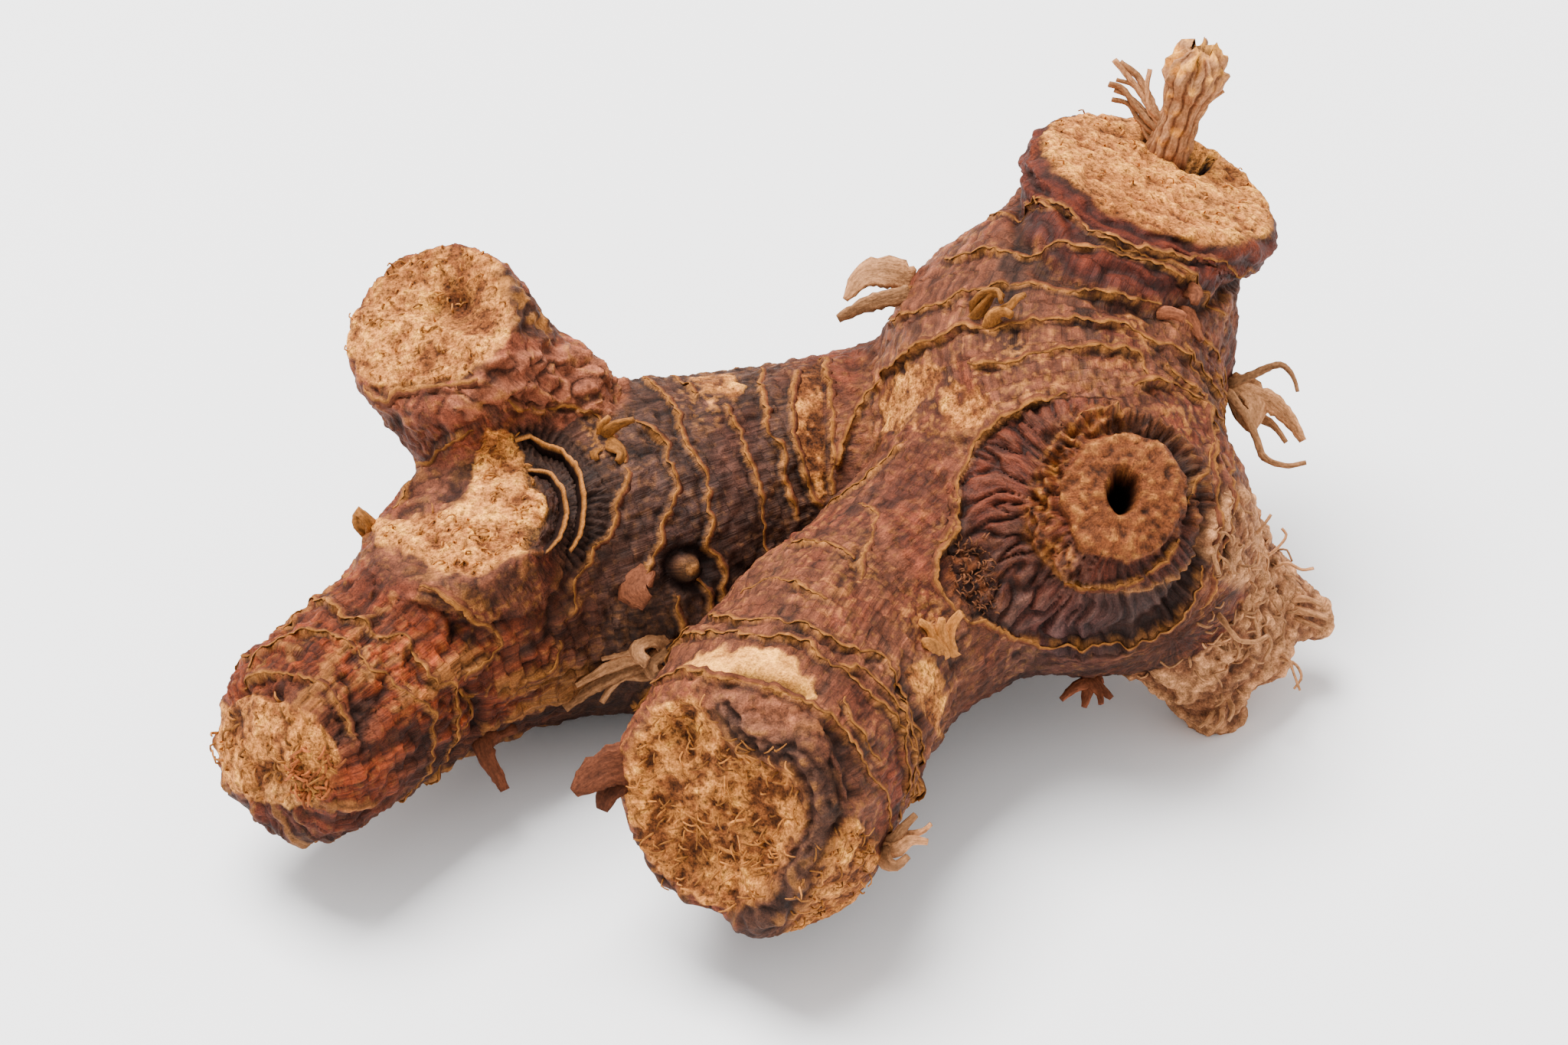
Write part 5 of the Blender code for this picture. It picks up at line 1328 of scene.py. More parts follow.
def coat_left(coat):
    """The ribbed skin beside the saddle scar, the knob's pit and torn bark, and the bud, with
    painted shade in the ribs, pits, creases and hollows and painted highlight on the crumpled
    folds.
    """
    spots, coarse = coat.spots, coat.coarse
    left, knob, scar = coat.left, coat.knob, coat.scar
    side = (left | scar | knob) * coat.facing
    x = coat.pixels[:, 0] - SHELL_CENTRE[0]
    y = coat.pixels[:, 1] - SHELL_CENTRE[1]
    away = np.hypot(x, y)
    turn = np.arctan2(y, x)
    zone = side * rise(52, 60, away) * rise(118, 96, away)
    zone = zone * rise(-0.55, -0.25, np.cos(turn)) * rise(1.0, 0.75, np.sin(turn))
    zone = zone * (1.0 - np.clip(coat.raw * 2, 0, 1))
    ribs = np.cos(62.0 * (turn + 0.05 * coarse[2.6]))
    coat.height += zone * 0.17 * ribs
    coat.paint(BARK_GREY * 0.8, zone * 0.85)
    # Painted shade between the ribs
    coat.paint(DEEP_BARK_AND_SHADE * 0.8, zone * 0.9 * rise(0.3, -0.8, ribs))
    between = side * rise(22, 30, away) * rise(62, 54, away)
    between = between * rise(-0.3, 0.1, np.cos(turn))
    fine_ribs = np.cos(88.0 * (turn + 0.04 * coarse[2.6]))
    coat.height += between * (0.12 * fine_ribs - 0.5)
    # Painted shade in the sunken band, greyer on its ribs
    coat.paint(DEEP_BARK_AND_SHADE, between * 0.85)
    coat.paint(BARK_GREY, between * 0.6 * rise(0.0, 0.9, fine_ribs))

    pit = pits(coat.pixels, KNOB_PITS) * knob * coat.facing
    coat.height -= 1.5 * pit
    # Painted shade in the knob's pits
    coat.paint(PITH_DARK * 1.4, 0.9 * pit)
    right_of, below = (coat.pixels - np.array(KNOB_LEDGE)).T
    upper = rise(6, -10, below - 0.26 * right_of)
    upper = upper * rise(0.0, 1.0, coat.inside(KNOB_FACE)) * knob * coat.facing
    coat.height -= 0.55 * upper
    coat.paint(PITH_BROWN, 0.55 * upper * rise(-0.5, 0.5, coarse[2.6]))
    torn = rise(-0.2, 0.5, coat.inside(KNOB_TORN)) * knob * coat.facing
    coat.height += torn * (0.55 * noise(spots, 2.2, 92) + 0.35 * noise(spots, 1.1, 93))
    coat.paint(BARK_DARK, torn * 0.85)
    coat.paint(EDGE_TAN, torn * rise(0.1, 0.5, noise(spots, 1.4, 94)))
    coat.raw = coat.raw * (1.0 - 0.6 * torn)
    crumpled = rise(-0.2, 0.8, coat.inside(CRUMPLED)) * (left | knob | scar) * coat.facing
    folds = 1.0 - 2.0 * np.abs(noise(spots * np.array([0.45, 1.0, 1.0]), 2.0, 95))
    pleats = thin_lines(spots * np.array([0.5, 1.0, 1.15]), 1.7, 75, 0.2)
    coat.height += crumpled * (0.6 * folds + 0.25 * coarse[1.3] - 0.35 * pleats)
    coat.paint(BARK * 1.65, crumpled * 0.8)
    # Painted highlight on the folds' crests and painted shade in their valleys and pleats, with
    # the bark's tan and painted highlight on the highest crests
    coat.paint(BARK_LIGHT * 1.9, crumpled * 0.7 * rise(0.2, 0.9, folds))
    coat.paint(DEEP_BARK_AND_SHADE, crumpled * 0.85 * np.maximum(rise(0.1, -0.7, folds), pleats))
    coat.paint(EDGE_TAN, crumpled * 0.6 * rise(0.85, 1.0, folds + 0.2 * coarse[0.7]))

    bud = pixels_from(coat.pixels, *BUD)
    near = left * coat.facing
    coat.height += near * (0.9 * np.exp(-(bud / 16.0) ** 4) - 0.7 * ridge(bud - 24, 7))
    # Painted shade in the moat round the bud
    coat.paint(DEEP_BARK_AND_SHADE * 0.7, near * ridge(bud - 26, 13))
    coat.paint(EDGE_TAN * 0.55, near * np.exp(-(bud / 14.0) ** 4))
    coat.paint(EDGE_DARK, near * 0.7 * ridge(bud - 10, 3))
    end_pit = pits(coat.pixels, END_PITS)
    coat.height -= 0.6 * end_pit * left
    # Painted shade in the end's pits
    coat.paint(PITH_DARK, 0.7 * end_pit * left)
    creases = coat.near_any(LEFT_CREASES, 0.5)
    coat.height -= 0.6 * creases * left
    # Painted shade in the creases
    coat.paint(EDGE_DARK, 0.85 * creases * left)


def coat_front(coat):
    """The front limb's end: a raised roll of dark bark between its two raw faces, and folds, with
    painted shade in the roll's ripples, the pits and the folds and painted highlight on the
    ripples' crests.
    """
    spots, coarse, front = coat.spots, coat.coarse, coat.front
    roll = coat.near(FRONT_ROLL, 1.5) * front
    off_roll, _ = line_gap(coat.pixels, FRONT_ROLL)
    layers = np.cos(4.4 * off_roll / PIXELS_PER_MM + 3.0 * coarse[2.6] + 1.2 * coarse[1.3])
    ripples = 0.4 * noise(spots, 1.4, 96) + 0.35 * noise(spots, 0.8, 97) + 0.35 * layers
    coat.height += roll * (1.0 + 0.8 * ripples)
    coat.paint(BARK_DARK * 1.5, 0.95 * roll)
    # Painted shade in the ripples' hollows and painted highlight on their crests
    coat.paint(DEEP_BARK_AND_SHADE, roll * rise(0.05, -0.4, ripples))
    coat.paint(EDGE_TAN * 0.8, roll * rise(0.3, 0.65, ripples) * 0.7)
    coat.raw = coat.raw * (1.0 - roll)
    inside = inside_patch(coat.pixels, FRONT_FACE) / PIXELS_PER_MM
    bowl = rise(0.2, 2.5, inside) * front * coat.facing
    coat.height -= 0.7 * bowl * (1.0 - roll)
    across, down = coat.pixels.T
    streaks = noise(grain_grid(across * 0.25, down, 0.0) / PIXELS_PER_MM, 0.5, 98)
    right = bowl * rise(*STREAKED_ACROSS, across) * rise(*STREAKED_DOWN, down)
    coat.height += 0.16 * right * streaks
    coat.paint(PITH_DARK, 0.6 * right * rise(0.0, -0.6, streaks))
    pit = pits(coat.pixels, FACE_PITS) * front * coat.facing
    coat.height -= 0.8 * pit
    # Painted shade in the pits
    coat.paint(PITH_DARK * 1.2, 0.65 * pit)
    folds = coat.near_any(FRONT_FOLDS, 0.6) * front
    coat.height -= 0.8 * folds
    # Painted shade in the folds
    coat.paint(EDGE_DARK, 0.9 * folds)


def coat_lobes(coat):
    """The scaly, fibrous mass of root stubs at the right, with painted shade in its hollows and
    pale fibre with painted light on its raised scales.
    """
    spots, coarse = coat.spots, coat.coarse
    lobe = 1.0 * coat.on(*LOBES)
    right_of, below = (coat.pixels - np.array(ROOT_BUMPS)).T
    bumps = np.hypot(right_of, below * 0.75)
    lobe = np.maximum(lobe, coat.on("trunk") * rise(58, 40, bumps) * coat.facing)
    fibres = noise(spots * np.array([0.35, 1.0, 0.45]), 0.9, 90)
    scales = 1.0 - 1.4 * np.abs(noise(spots, 3.0, 99))
    shape = 0.5 * scales + 0.35 * fibres + 0.2 * coarse[0.7]
    coat.height = coat.height * (1.0 - 0.5 * lobe) + lobe * (0.9 * shape - 0.1)
    colour = np.tile(FIBRE_DARK * 1.1, (len(spots), 1))
    # The fibre's pale tan and painted light on the raised scales, and painted shade in their
    # hollows
    colour = mix(colour, FIBRE * 1.15, rise(0.0, 0.6, shape + 0.3 * coarse[2.6]))
    colour = mix(colour, DEEP_BARK_AND_SHADE, rise(0.0, -0.35, shape))
    colour = colour * np.exp(0.45 * coarse[0.7])[:, None]
    coat.paint(colour, lobe)
    coat.raw = np.maximum(coat.raw, 0.6 * lobe)
    coat.gloss = coat.gloss * (1 - lobe)


def dressed(spots, surface, edges):
    """The coat of the whole skin."""
    coat = Coat(spots, surface)
    for lay in (coat_bark, coat_cuts, coat_eye, coat_stem, coat_left, coat_front, coat_lobes):
        lay(coat)
    # Painted light and shade, with the bark's own tone, laid on by place
    for x, y, size, red, green, blue in SHADES:
        share = coat.patch(x, y, size, 3.0)
        coat.colour = coat.colour * (1.0 + share[:, None] * (np.array([red, green, blue]) - 1.0))
    coat_edges(coat, edges)
    return coat


def mesh_arrays(mesh):
    """The corners of a mesh and of its faces, all of them squares."""
    spots = np.empty(len(mesh.vertices) * 3)
    mesh.vertices.foreach_get("co", spots)
    corners = np.empty(len(mesh.loops), int)
    mesh.loops.foreach_get("vertex_index", corners)
    return spots.reshape(-1, 3), corners.reshape(-1, 4)


def finer(spots, squares):
    """Each square split into four."""
    ends = np.concatenate([squares[:, [k, (k + 1) % 4]] for k in range(4)])
    edges, index = np.unique(np.sort(ends, axis=1), axis=0, return_inverse=True)
    index = index.reshape(4, len(squares)) + len(spots)
    middles = len(spots) + len(edges) + np.arange(len(squares))
    all_spots = np.vstack([spots, spots[edges].mean(axis=1), spots[squares].mean(axis=1)])
    small = [np.stack([squares[:, k], index[k], middles, index[k - 1]], axis=1) for k in range(4)]
    return all_spots, np.vstack(small)


def skin_normals(spots, squares):
    """The way out at each corner, from the faces round it."""
    a, b, c, d = (spots[squares[:, k]] for k in range(4))
    face = np.cross(c - a, d - b)
    total = np.zeros_like(spots)
    for k in range(4):
        np.add.at(total, squares[:, k], face)
    return unit_rows(total)


def placed(spots):
    """Spots in the root's own frame, in the part's frame and in metres."""
    return (spots + ORIGIN_SHIFT) * MM


def new_piece(name, spots, faces, material, layers, normals=None):
    """A named mesh piece that rides on the root, with layers of values at its corners."""
    mesh = bpy.data.meshes.new(name)
    spots = placed(np.asarray(spots, float))
    spots[:, 2] = np.maximum(spots[:, 2], 0.0)
    if isinstance(faces, np.ndarray):
        sides = faces.shape[1]
        mesh.vertices.add(len(spots))
        mesh.vertices.foreach_set("co", spots.ravel())
        mesh.loops.add(faces.size)
        mesh.loops.foreach_set("vertex_index", faces.ravel())
        mesh.polygons.add(len(faces))
        mesh.polygons.foreach_set("loop_start", np.arange(0, faces.size, sides))
        mesh.update(calc_edges=True)
    else:
        mesh.from_pydata(spots.tolist(), [], faces)
        turned = bmesh.new()
        turned.from_mesh(mesh)
        bmesh.ops.recalc_face_normals(turned, faces=turned.faces)
        turned.to_mesh(mesh)
        turned.free()
    mesh.validate()
    for layer_name, values in layers.items():
        values = np.asarray(values, float)
        if layer_name == "tint":
            layer = mesh.attributes.new("tint", "FLOAT_COLOR", "POINT")
            layer.data.foreach_set("color", np.hstack([values, np.ones((len(values), 1))]).ravel())
        elif values.ndim == 2:
            layer = mesh.attributes.new(layer_name, "FLOAT_VECTOR", "POINT")
            layer.data.foreach_set("vector", values.ravel())
        else:
            layer = mesh.attributes.new(layer_name, "FLOAT", "POINT")
            layer.data.foreach_set("value", values)
    mesh.shade_smooth()
    if normals is not None:
        mesh.normals_split_custom_set_from_vertices(normals)
    mesh.materials.append(material)
    piece = bpy.data.objects.new(name, mesh)
    bpy.context.collection.objects.link(piece)
    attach(piece, "root")
    return piece


class Nodes:
    """A material's node tree, with short ways to add to it."""

    def __init__(self, name):
        self.material = bpy.data.materials.new(name)
        self.material.use_nodes = True
        self.tree = self.material.node_tree
        self.shader = self.tree.nodes["Principled BSDF"]
        self.place = self.tree.nodes.new("ShaderNodeTexCoord").outputs["Object"]

    def link(self, source, target):
        """One socket joined to another."""
        self.tree.links.new(source, target)

    def attribute(self, name, output):
        """A layer of values at the piece's corners."""
        node = self.tree.nodes.new("ShaderNodeAttribute")
        node.attribute_name = name
        return node.outputs[output]

    def noise(self, vector, scale, detail, roughness=0.6):
        """Noise of a scale at a place."""
        node = self.tree.nodes.new("ShaderNodeTexNoise")
        node.inputs["Scale"].default_value = scale
        node.inputs["Detail"].default_value = detail
        node.inputs["Roughness"].default_value = roughness
        self.link(vector, node.inputs["Vector"])
        return node.outputs["Fac"]

    def spread(self, value, low, high, to_low, to_high):
        """A value carried from one range to another."""
        node = self.tree.nodes.new("ShaderNodeMapRange")
        for name, number in (("From Min", low), ("From Max", high), ("To Min", to_low),
                             ("To Max", to_high)):
            node.inputs[name].default_value = number
        self.link(value, node.inputs["Value"])
        return node.outputs["Result"]

    def math(self, operation, first, second):
        """A sum, a difference or a product."""
        node = self.tree.nodes.new("ShaderNodeMath")
        node.operation = operation
        for socket, value in zip(node.inputs, (first, second)):
            if isinstance(value, float):
                socket.default_value = value
            else:
                self.link(value, socket)
        return node.outputs["Value"]

    def part_of(self, tone, share):
        """How far a tone is from 1, in the share of it that shows."""
        return self.math("MULTIPLY", self.math("SUBTRACT", tone, 1.0), share)

    def colour(self, tone):
        """The corner colours, each times a tone, as the material's colour."""
        node = self.tree.nodes.new("ShaderNodeVectorMath")
        node.operation = "SCALE"
        self.link(self.attribute("tint", "Color"), node.inputs[0])
        self.link(tone, node.inputs["Scale"])
        self.link(node.outputs["Vector"], self.shader.inputs["Base Color"])

    def grain(self, stretch):
        """The piece's own measure, drawn out along its strands."""
        node = self.tree.nodes.new("ShaderNodeVectorMath")
        node.operation = "MULTIPLY"
        self.link(self.attribute("grain", "Vector"), node.inputs[0])
        node.inputs[1].default_value = (stretch, 1.0, 1.0)
        return node.outputs["Vector"]

    def bump(self, height, strength, distance, before=None):
        """Fine relief from a height, laid over relief that comes before it."""
        node = self.tree.nodes.new("ShaderNodeBump")
        node.inputs["Distance"].default_value = distance
        if isinstance(strength, float):
            node.inputs["Strength"].default_value = strength
        else:
            self.link(strength, node.inputs["Strength"])
        self.link(height, node.inputs["Height"])
        if before is not None:
            self.link(before, node.inputs["Normal"])
        return node.outputs["Normal"]


def bark_material():
    """Bark and raw root: the corner colours, with creases along the limb and a fine grit."""
    nodes = Nodes("bark")
    nodes.shader.inputs["Specular IOR Level"].default_value = 0.14
    raw, crease = nodes.attribute("raw", "Fac"), nodes.attribute("crease", "Fac")
    unbroken = nodes.math("SUBTRACT", 1.0, raw)
    bark = nodes.math("MULTIPLY", unbroken, crease)
    plain = nodes.math("MULTIPLY", unbroken, nodes.math("SUBTRACT", 1.0, crease))
    creases = nodes.noise(nodes.grain(0.28), 2.4, 5.0, 0.65)
    crackle = nodes.noise(nodes.place, 900.0, 5.0, 0.7)
    grit = nodes.noise(nodes.place, 2600.0, 4.0, 0.7)
    specks = nodes.noise(nodes.place, 6500.0, 2.0, 0.6)
    # Painted shade and light: the creases and the crackle darken the colour where their bumps are
    # low and lighten it where they are raised
    crease_part = nodes.part_of(nodes.spread(creases, 0.32, 0.66, 0.4, 1.55), bark)
    crackle_part = nodes.part_of(nodes.spread(crackle, 0.35, 0.65, 0.45, 1.5), plain)
    grit_part = nodes.part_of(nodes.spread(grit, 0.35, 0.65, 0.25, 1.65), raw)
    crease_light_and_shade = nodes.math("ADD", nodes.math("ADD", crease_part, 1.0), crackle_part)
    raw_tone = nodes.math("ADD", grit_part, 1.0)
    fine_tone = nodes.spread(specks, 0.3, 0.7, 0.64, 1.38)
    nodes.colour(nodes.math("MULTIPLY", nodes.math("MULTIPLY", crease_light_and_shade, raw_tone), fine_tone))
    rough = nodes.spread(nodes.attribute("gloss", "Fac"), 0.0, 1.0, 0.85, 0.38)
    nodes.link(rough, nodes.shader.inputs["Roughness"])
    under = nodes.bump(crackle, nodes.math("MULTIPLY", plain, 0.9), 0.0004)
    first = nodes.bump(creases, nodes.math("MULTIPLY", bark, 0.9), 0.0004, under)
    grit_strength = nodes.math("ADD", nodes.math("MULTIPLY", raw, 0.7), 0.25)
    second = nodes.bump(grit, grit_strength, 0.00025, first)
    nodes.link(nodes.bump(specks, 0.35, 0.00008, second), nodes.shader.inputs["Normal"])
    return nodes.material


def fibre_material():
    """Torn sheath and fibre: streaked along each strand."""
    nodes = Nodes("fibre")
    nodes.shader.inputs["Specular IOR Level"].default_value = 0.1
    nodes.shader.inputs["Roughness"].default_value = 0.8
    streaks = nodes.noise(nodes.grain(0.35), 4.0, 3.0)
    specks = nodes.noise(nodes.place, 4200.0, 3.0, 0.6)
    nodes.colour(nodes.math("MULTIPLY", nodes.spread(streaks, 0.3, 0.7, 0.6, 1.4),
                            nodes.spread(specks, 0.3, 0.7, 0.7, 1.3)))
    first = nodes.bump(streaks, 0.6, 0.0002)
    nodes.link(nodes.bump(specks, 0.4, 0.0001, first), nodes.shader.inputs["Normal"])
    return nodes.material


class Bands:
    """Thin closed bands gathered into one mesh: each is a loop of spots swept along a line."""

    def __init__(self, seed=0):
        self.spots, self.faces, self.tints, self.grains = [], [], [], []
        self.count = 0
        self.dice = np.random.default_rng(seed)

    def sweep(self, spots, tints, grains):
        """A band from its spots, colours and grain, each by place along it and by side."""
        places, sides = spots.shape[:2]
        index = self.count + np.arange(places * sides).reshape(places, sides)
        beside = np.roll(index, -1, axis=1)
        squares = np.stack([index[:-1], beside[:-1], beside[1:], index[1:]], axis=-1)
        self.faces += squares.reshape(-1, 4).tolist()
        self.faces += [index[0, ::-1].tolist(), index[-1].tolist()]
        for store, values in ((self.spots, spots), (self.tints, tints), (self.grains, grains)):
            store.append(np.broadcast_to(values, (places, sides, 3)).reshape(-1, 3))
        self.count += places * sides

    def strip(self, points, widths, thick, flat, tint, curl=0.0, step=0.35, rough=0.08):
        """A strip along the points: widths, thickness, the way its flat side looks, its colour."""
        smooth = curve_through(points, 8)
        line = evenly(smooth, step)
        if len(line) < 4:
            line = read_along(np.linspace(0, len(smooth) - 1, 4), np.arange(len(smooth)), smooth)
        count = len(line)
        t = np.linspace(0.0, 1.0, count)
        half = np.interp(t, np.linspace(0.0, 1.0, len(widths)), widths)[:, None] * 0.5
        half = np.maximum(half, THINNEST)
        ahead = unit_rows(np.gradient(line, axis=0))
        out = unit_rows(flat - (flat * ahead).sum(axis=1)[:, None] * ahead)
        across = np.cross(ahead, out)
        cos, sin = np.cos(curl * t)[:, None], np.sin(curl * t)[:, None]
        out, across = out * cos + across * sin, across * cos - out * sin
        grain_shift = self.dice.uniform(0, 50)
        wobble = self.dice.normal(0.0, rough, (count, len(STRIP_PROFILE)))
        tone = 1.0 + 0.16 * self.dice.normal()
        u, v = np.array(STRIP_PROFILE).T
        sideways = (u * half * (1 + wobble))[..., None]
        upwards = (v * thick + 0.18 * half * u * u)[..., None]
        self.sweep(line[:, None] + across[:, None] * sideways + out[:, None] * upwards,
                   tint * tone * (0.8 + 0.35 * abs(u))[:, None],
                   grain_grid((np.arange(count) * step + grain_shift)[:, None], u * half, v))

    def lip(self, points, forward, out, places, tints, grains):
        """A lip along the points: how far forward and how far out each of its sides lies."""
        rows = [points + forward * ahead + out * lift for ahead, lift in places]
        self.sweep(np.stack(rows, axis=1), tints, grains)

    def build(self, name, material):
        """All bands as one piece."""
        layers = {"tint": np.vstack(self.tints), "grain": np.vstack(self.grains)}
        return new_piece(name, np.vstack(self.spots), self.faces, material, layers)


def build_sheaths(edges, skin, material):
    """A thin ragged lip along each torn edge, which stands off the skin a little."""
    bands = Bands()
    side = np.arange(len(SHEATH_COLOURS))
    for edge in edges:
        on_skin = skin.settle(edge.points - edge.forward * 0.35, edge.out)
        strength = edge.strength[:, None]
        tall = edge.height * np.clip(strength, 0.0, 1.3)
        fringe = edge.fringe[:, None]
        reach = np.clip(0.06 + 0.34 * fringe + 0.18 * tall, 0.0, 0.6) * np.clip(strength, 0.0, 1.0)
        lift = np.clip(0.26 * tall + 0.16 * fringe, 0.0, 0.5)
        places = ((-0.42, -0.14), (-0.12, 0.04 + 0.35 * lift),
                  (0.5 * reach + 0.04, 0.04 + 0.75 * lift), (reach + 0.13, 0.02 + lift),
                  (reach + 0.09, lift - 0.06), (0.4 * reach + 0.02, 0.55 * lift - 0.12),
                  (-0.25, -0.25))
        # The lip's underside rows are dark with painted shade
        bands.lip(on_skin, edge.forward, edge.out, places,
                  np.array(SHEATH_COLOURS) * (1.0 + 0.7 * fringe[..., None]),
                  grain_grid(edge.length[:, None], side, 0.0))
    return bands.build("sheath_edges", material)


def at_depth(x, y, depth):
    """The spot under a pixel at a depth."""
    ray = pixel_ray(x, y)
    return CAMERA_PLACE + ray * (depth / (ray @ LOOK))


def hanging(skin, line, lean=0.0):
    """A traced strand that starts on the skin and hangs free at the depth of its root."""
    start = np.array(line[0], float)
    back = unit(start - line[1])
    away = np.linalg.norm(to_pixels(CORE_AXIS) - start, axis=1)
    root = skin.under(*start)
    if away.min() < CORE_REACH:
        root = CORE_AXIS[away.argmin()]
        line = (line[0], *line)
    for _ in range(ROOT_SEARCH_STEPS):
        if root is not None:
            break
        start = start + ROOT_SEARCH_STEP * back
        root = skin.under(*start)
        if root is not None:
            line = (line[0], *line)
    if root is None:
        return None
    depth = (root - CAMERA_PLACE) @ LOOK
    spots = [root + LOOK * ROOT_SUNK]
    for k, (x, y) in enumerate(line[1:]):
        spots.append(at_depth(x, y, depth - lean * (k + 1)))
    return np.array(spots)


def build_tufts(skin, material):
    """The torn strips, tufts and papery flakes, each traced from its root on the skin."""
    bands = Bands(7)
    for line, widths, thick, tint, curl, lean in TUFT_STRIPS:
        spots = hanging(skin, line, lean)
        if spots is not None:
            bands.strip(spots, widths, thick, -LOOK, tint, curl)
    return bands.build("torn_strips", material)


def build_rootlets(skin, material):
    """Thin rootlets and threads."""
    bands = Bands(11)
    for line, widths, tint, lean in ROOTLETS:
        spots = hanging(skin, line, lean)
        if spots is not None:
            bands.strip(spots, widths, widths[0] * 0.8, -LOOK, tint, 0.6, 0.3, 0.12)
    return bands.build("rootlets", material)


def build_fuzz(skin, material):
    """Short curled fibres on the raw faces and in the torn pockets."""
    bands = Bands(13)
    dice = np.random.default_rng(21)
    for outline, count, length, width, tint in FUZZ:
        points = np.array(outline, float)
        low, high = points.min(axis=0), points.max(axis=0)
        placed_count = 0
        while placed_count < count:
            pixel = dice.uniform(low, high)
            if inside_patch(pixel[None], outline)[0] < 2.0:
                continue
            placed_count += 1
            root = skin.under(*pixel)
            if root is None:
                continue
            out = body_surface(root[None])["out"][0]
            side = unit(np.cross(out, dice.normal(size=3)))
            other = np.cross(out, side)
            reach = length * dice.uniform(0.5, 1.3)
            bend = dice.uniform(-1.0, 1.0)
            path = [root - 0.15 * out]
            for t in (0.33, 0.66, 1.0):
                lift = reach * 0.32 * math.sin(math.pi * min(t, 0.8))
                path.append(root + side * reach * t * 0.8 + other * bend * reach * t * t * 0.6
                            + out * (0.1 + lift))
            bands.strip(np.array(path), (width, width * 0.9, width * 0.5), width * 0.6, out,
                        tint * dice.uniform(0.6, 1.4), dice.uniform(-1, 1), 0.3, 0.1)
    return bands.build("raw_fibres", material)


def build_shells(skin, material):
    """The two thin curved shells that stand beside the saddle scar."""
    bands = Bands()
    centre = skin.under(*SHELL_CENTRE)
    for tall, line in SHELL_LINES:
        points = evenly(traced(skin, line, 4.0), 0.3)
        out = body_surface(points)["out"]
        inward = centre - points
        inward = unit_rows(inward - (inward * out).sum(axis=1)[:, None] * out)
        count = len(points)
        t = np.linspace(0.0, 1.0, count)
        height = tall * np.sin(np.pi * np.clip(0.08 + 0.86 * t, 0, 1))[:, None] ** 0.5
        ripple = noise(grain_grid(t * 40.0, 7.0 * tall, 0.0), 1.7, 77)
        height = height * (1.0 + 0.14 * ripple[:, None])
        places = ((-0.7, -0.3), (-0.35, height * 0.55), (-0.12, height), (0.12, height * 0.97),
                  (0.05, height * 0.5), (0.1, -0.4))
        # The shells' inner faces are dark with painted shade
        bands.lip(points, inward, out, places, np.array(SHELL_COLOURS),
                  grain_grid(0.0, np.arange(count)[:, None] * 0.9, 0.0))
    return bands.build("scar_shells", material)


def build_skin(material):
    """The root's whole skin, in a few pieces whose edges meet."""
    mesh = joined_limbs()
    spots, squares = mesh_arrays(mesh)
    bpy.data.meshes.remove(mesh)
    for _ in range(3):
        surface = body_surface(spots)
        spots = spots - surface["out"] * surface["gap"][:, None]
    smooth_skin = Skin(spots, squares)
    edges = torn_edges(smooth_skin)
    spots, squares = finer(spots, squares)
    surface = body_surface(spots)
    spots = spots - surface["out"] * surface["gap"][:, None]
    surface = body_surface(spots, full=True)
    coat = dressed(spots, surface, edges)
    spots = spots + surface["out"] * coat.height[:, None]
    spots[:, 2] = np.maximum(spots[:, 2], 0.0)
    normals = skin_normals(spots, squares)
    group = np.zeros(len(NAMES), int)
    for index, owners in enumerate(SKIN_PIECES.values()):
        for owner in owners:
            group[NAMES.index(owner)] = index
    on_tip = (surface["owner"] == NAMES.index("left")) & (surface["along"] > TIP_FROM)
    group = np.where(on_tip, len(SKIN_PIECES), group[surface["owner"]])
    face_group = group[squares[:, 0]]
    pieces = []
    for index, name in enumerate([*SKIN_PIECES, "skin_tip"]):
        used, faces = np.unique(squares[face_group == index], return_inverse=True)
        layers = {"tint": coat.colour[used], "gloss": np.clip(coat.gloss[used], 0.0, 1.0),
                  "raw": np.clip(coat.raw[used], 0.0, 1.0), "crease": coat.crease[used],
                  "grain": coat.grain[used]}
        pieces.append(new_piece(name, spots[used], faces.reshape(-1, 4), material, layers,
                                normals[used]))
    return Skin(spots, squares), edges, pieces


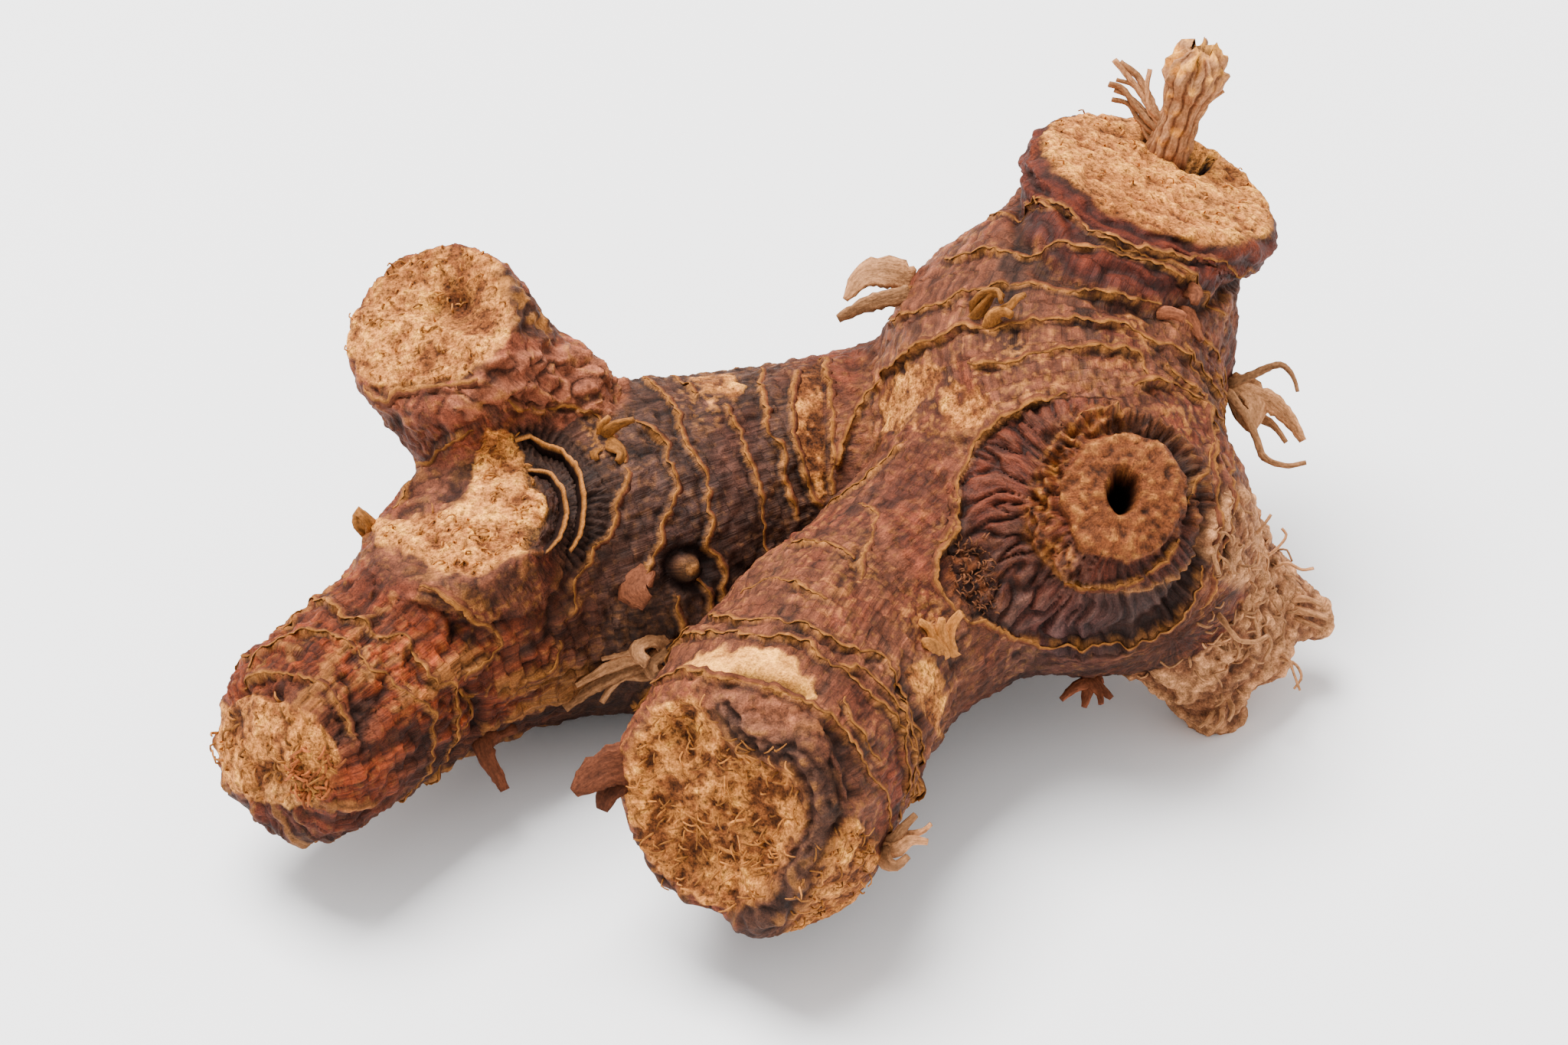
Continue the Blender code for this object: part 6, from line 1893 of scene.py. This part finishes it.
def build_core(material):
    """The fibre core that stands up from the cut stem, with a torn flared top."""
    way = unit(CORE_WAY)
    side = unit(np.cross(way, (0.0, 1.0, 0.0)))
    other = np.cross(way, side)
    length, angle = np.meshgrid(np.linspace(*CORE_SPAN, CORE_RINGS),
                                2 * math.pi * np.arange(CORE_SIDES) / CORE_SIDES, indexing="ij")
    length, angle = length.ravel(), angle.ravel()
    radius = np.interp(length, *np.array(CORE_SHAPE).T)
    fibre = 0.10 * np.cos(13 * angle) + 0.08 * np.cos(23 * angle + 1.0)
    ragged = rise(6.5, 9.0, length)
    torn = ragged * (0.8 * np.cos(5 * angle + 2.0) + 0.5 * np.cos(11 * angle))
    reach = radius + fibre * (0.7 + ragged)
    spots = (CORE_PLACE + way * (length + torn)[:, None] + (reach * np.cos(angle))[:, None] * side
             + (reach * np.sin(angle))[:, None] * other)
    spots += 0.2 * np.stack([noise(spots, 1.1, 95 + k) for k in range(3)], axis=1)
    spots += 0.25 * ragged[:, None] * np.stack([noise(spots, 0.8, 105 + k) for k in range(3)], 1)
    # Painted shade in the grooves between the fibres
    colour = mix(FIBRE * 0.95, FIBRE_DARK, rise(0.02, -0.15, fibre))
    colour = mix(colour, PITH_LIGHT, rise(0.3, 1.0, noise(spots, 1.2, 99) + 0.5 * ragged))
    # Darker towards its base, down in the hollow
    colour = mix(colour, PITH_BROWN * 0.7, rise(2.0, -1.0, length))
    grain = grain_grid(length, radius * np.cos(angle), radius * np.sin(angle))
    bands = Bands()
    bands.sweep(*(values.reshape(CORE_RINGS, CORE_SIDES, 3) for values in (spots, colour, grain)))
    return bands.build("core_strand", material)


def build_stage():
    """A plain white surface under the root."""
    bpy.ops.mesh.primitive_plane_add(size=FLOOR_SIZE, location=(0.0, 0.0, 0.0))
    floor = bpy.context.object
    floor.name = "floor"
    material = bpy.data.materials.new("floor")
    material.use_nodes = True
    shader = material.node_tree.nodes["Principled BSDF"]
    shader.inputs["Base Color"].default_value = FLOOR_COLOUR
    shader.inputs["Roughness"].default_value = 0.95
    shader.inputs["Specular IOR Level"].default_value = 0.05
    floor.data.materials.append(material)


def build_lights():
    """An even white studio with one large soft light overhead, a little behind the root."""
    world = bpy.data.worlds.new("studio")
    bpy.context.scene.world = world
    world.use_nodes = True
    back = world.node_tree.nodes["Background"]
    back.inputs["Color"].default_value = (1.0, 1.0, 1.0, 1.0)
    back.inputs["Strength"].default_value = STUDIO_STRENGTH
    bpy.ops.object.light_add(type="AREA", location=LIGHT_PLACE)
    light = bpy.context.object
    light.name = "overhead"
    light.data.shape = "SQUARE"
    light.data.size = LIGHT_SIZE
    light.data.energy = LIGHT_POWER
    light.rotation_euler = (-Vector(LIGHT_PLACE)).to_track_quat("-Z", "Y").to_euler()


def build_camera():
    """The camera the photograph was taken with."""
    bpy.ops.object.camera_add(location=tuple(placed(CAMERA_PLACE)))
    camera = bpy.context.object
    camera.rotation_euler = Vector(LOOK).to_track_quat("-Z", "Y").to_euler()
    camera.data.lens = LENS
    camera.data.sensor_width = SENSOR
    camera.data.clip_start = CLIP_START
    bpy.context.scene.camera = camera


for thing in bpy.context.selected_objects:
    thing.select_set(False)
bark = bark_material()
fibre = fibre_material()
skin, edges, skin_pieces = build_skin(bark)
for piece in skin_pieces:
    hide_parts("rhizome")
build_sheaths(edges, skin, fibre)
build_shells(skin, fibre)
build_core(fibre)
build_tufts(skin, fibre)
build_rootlets(skin, fibre)
build_fuzz(skin, fibre)
build_stage()
build_lights()
build_camera()
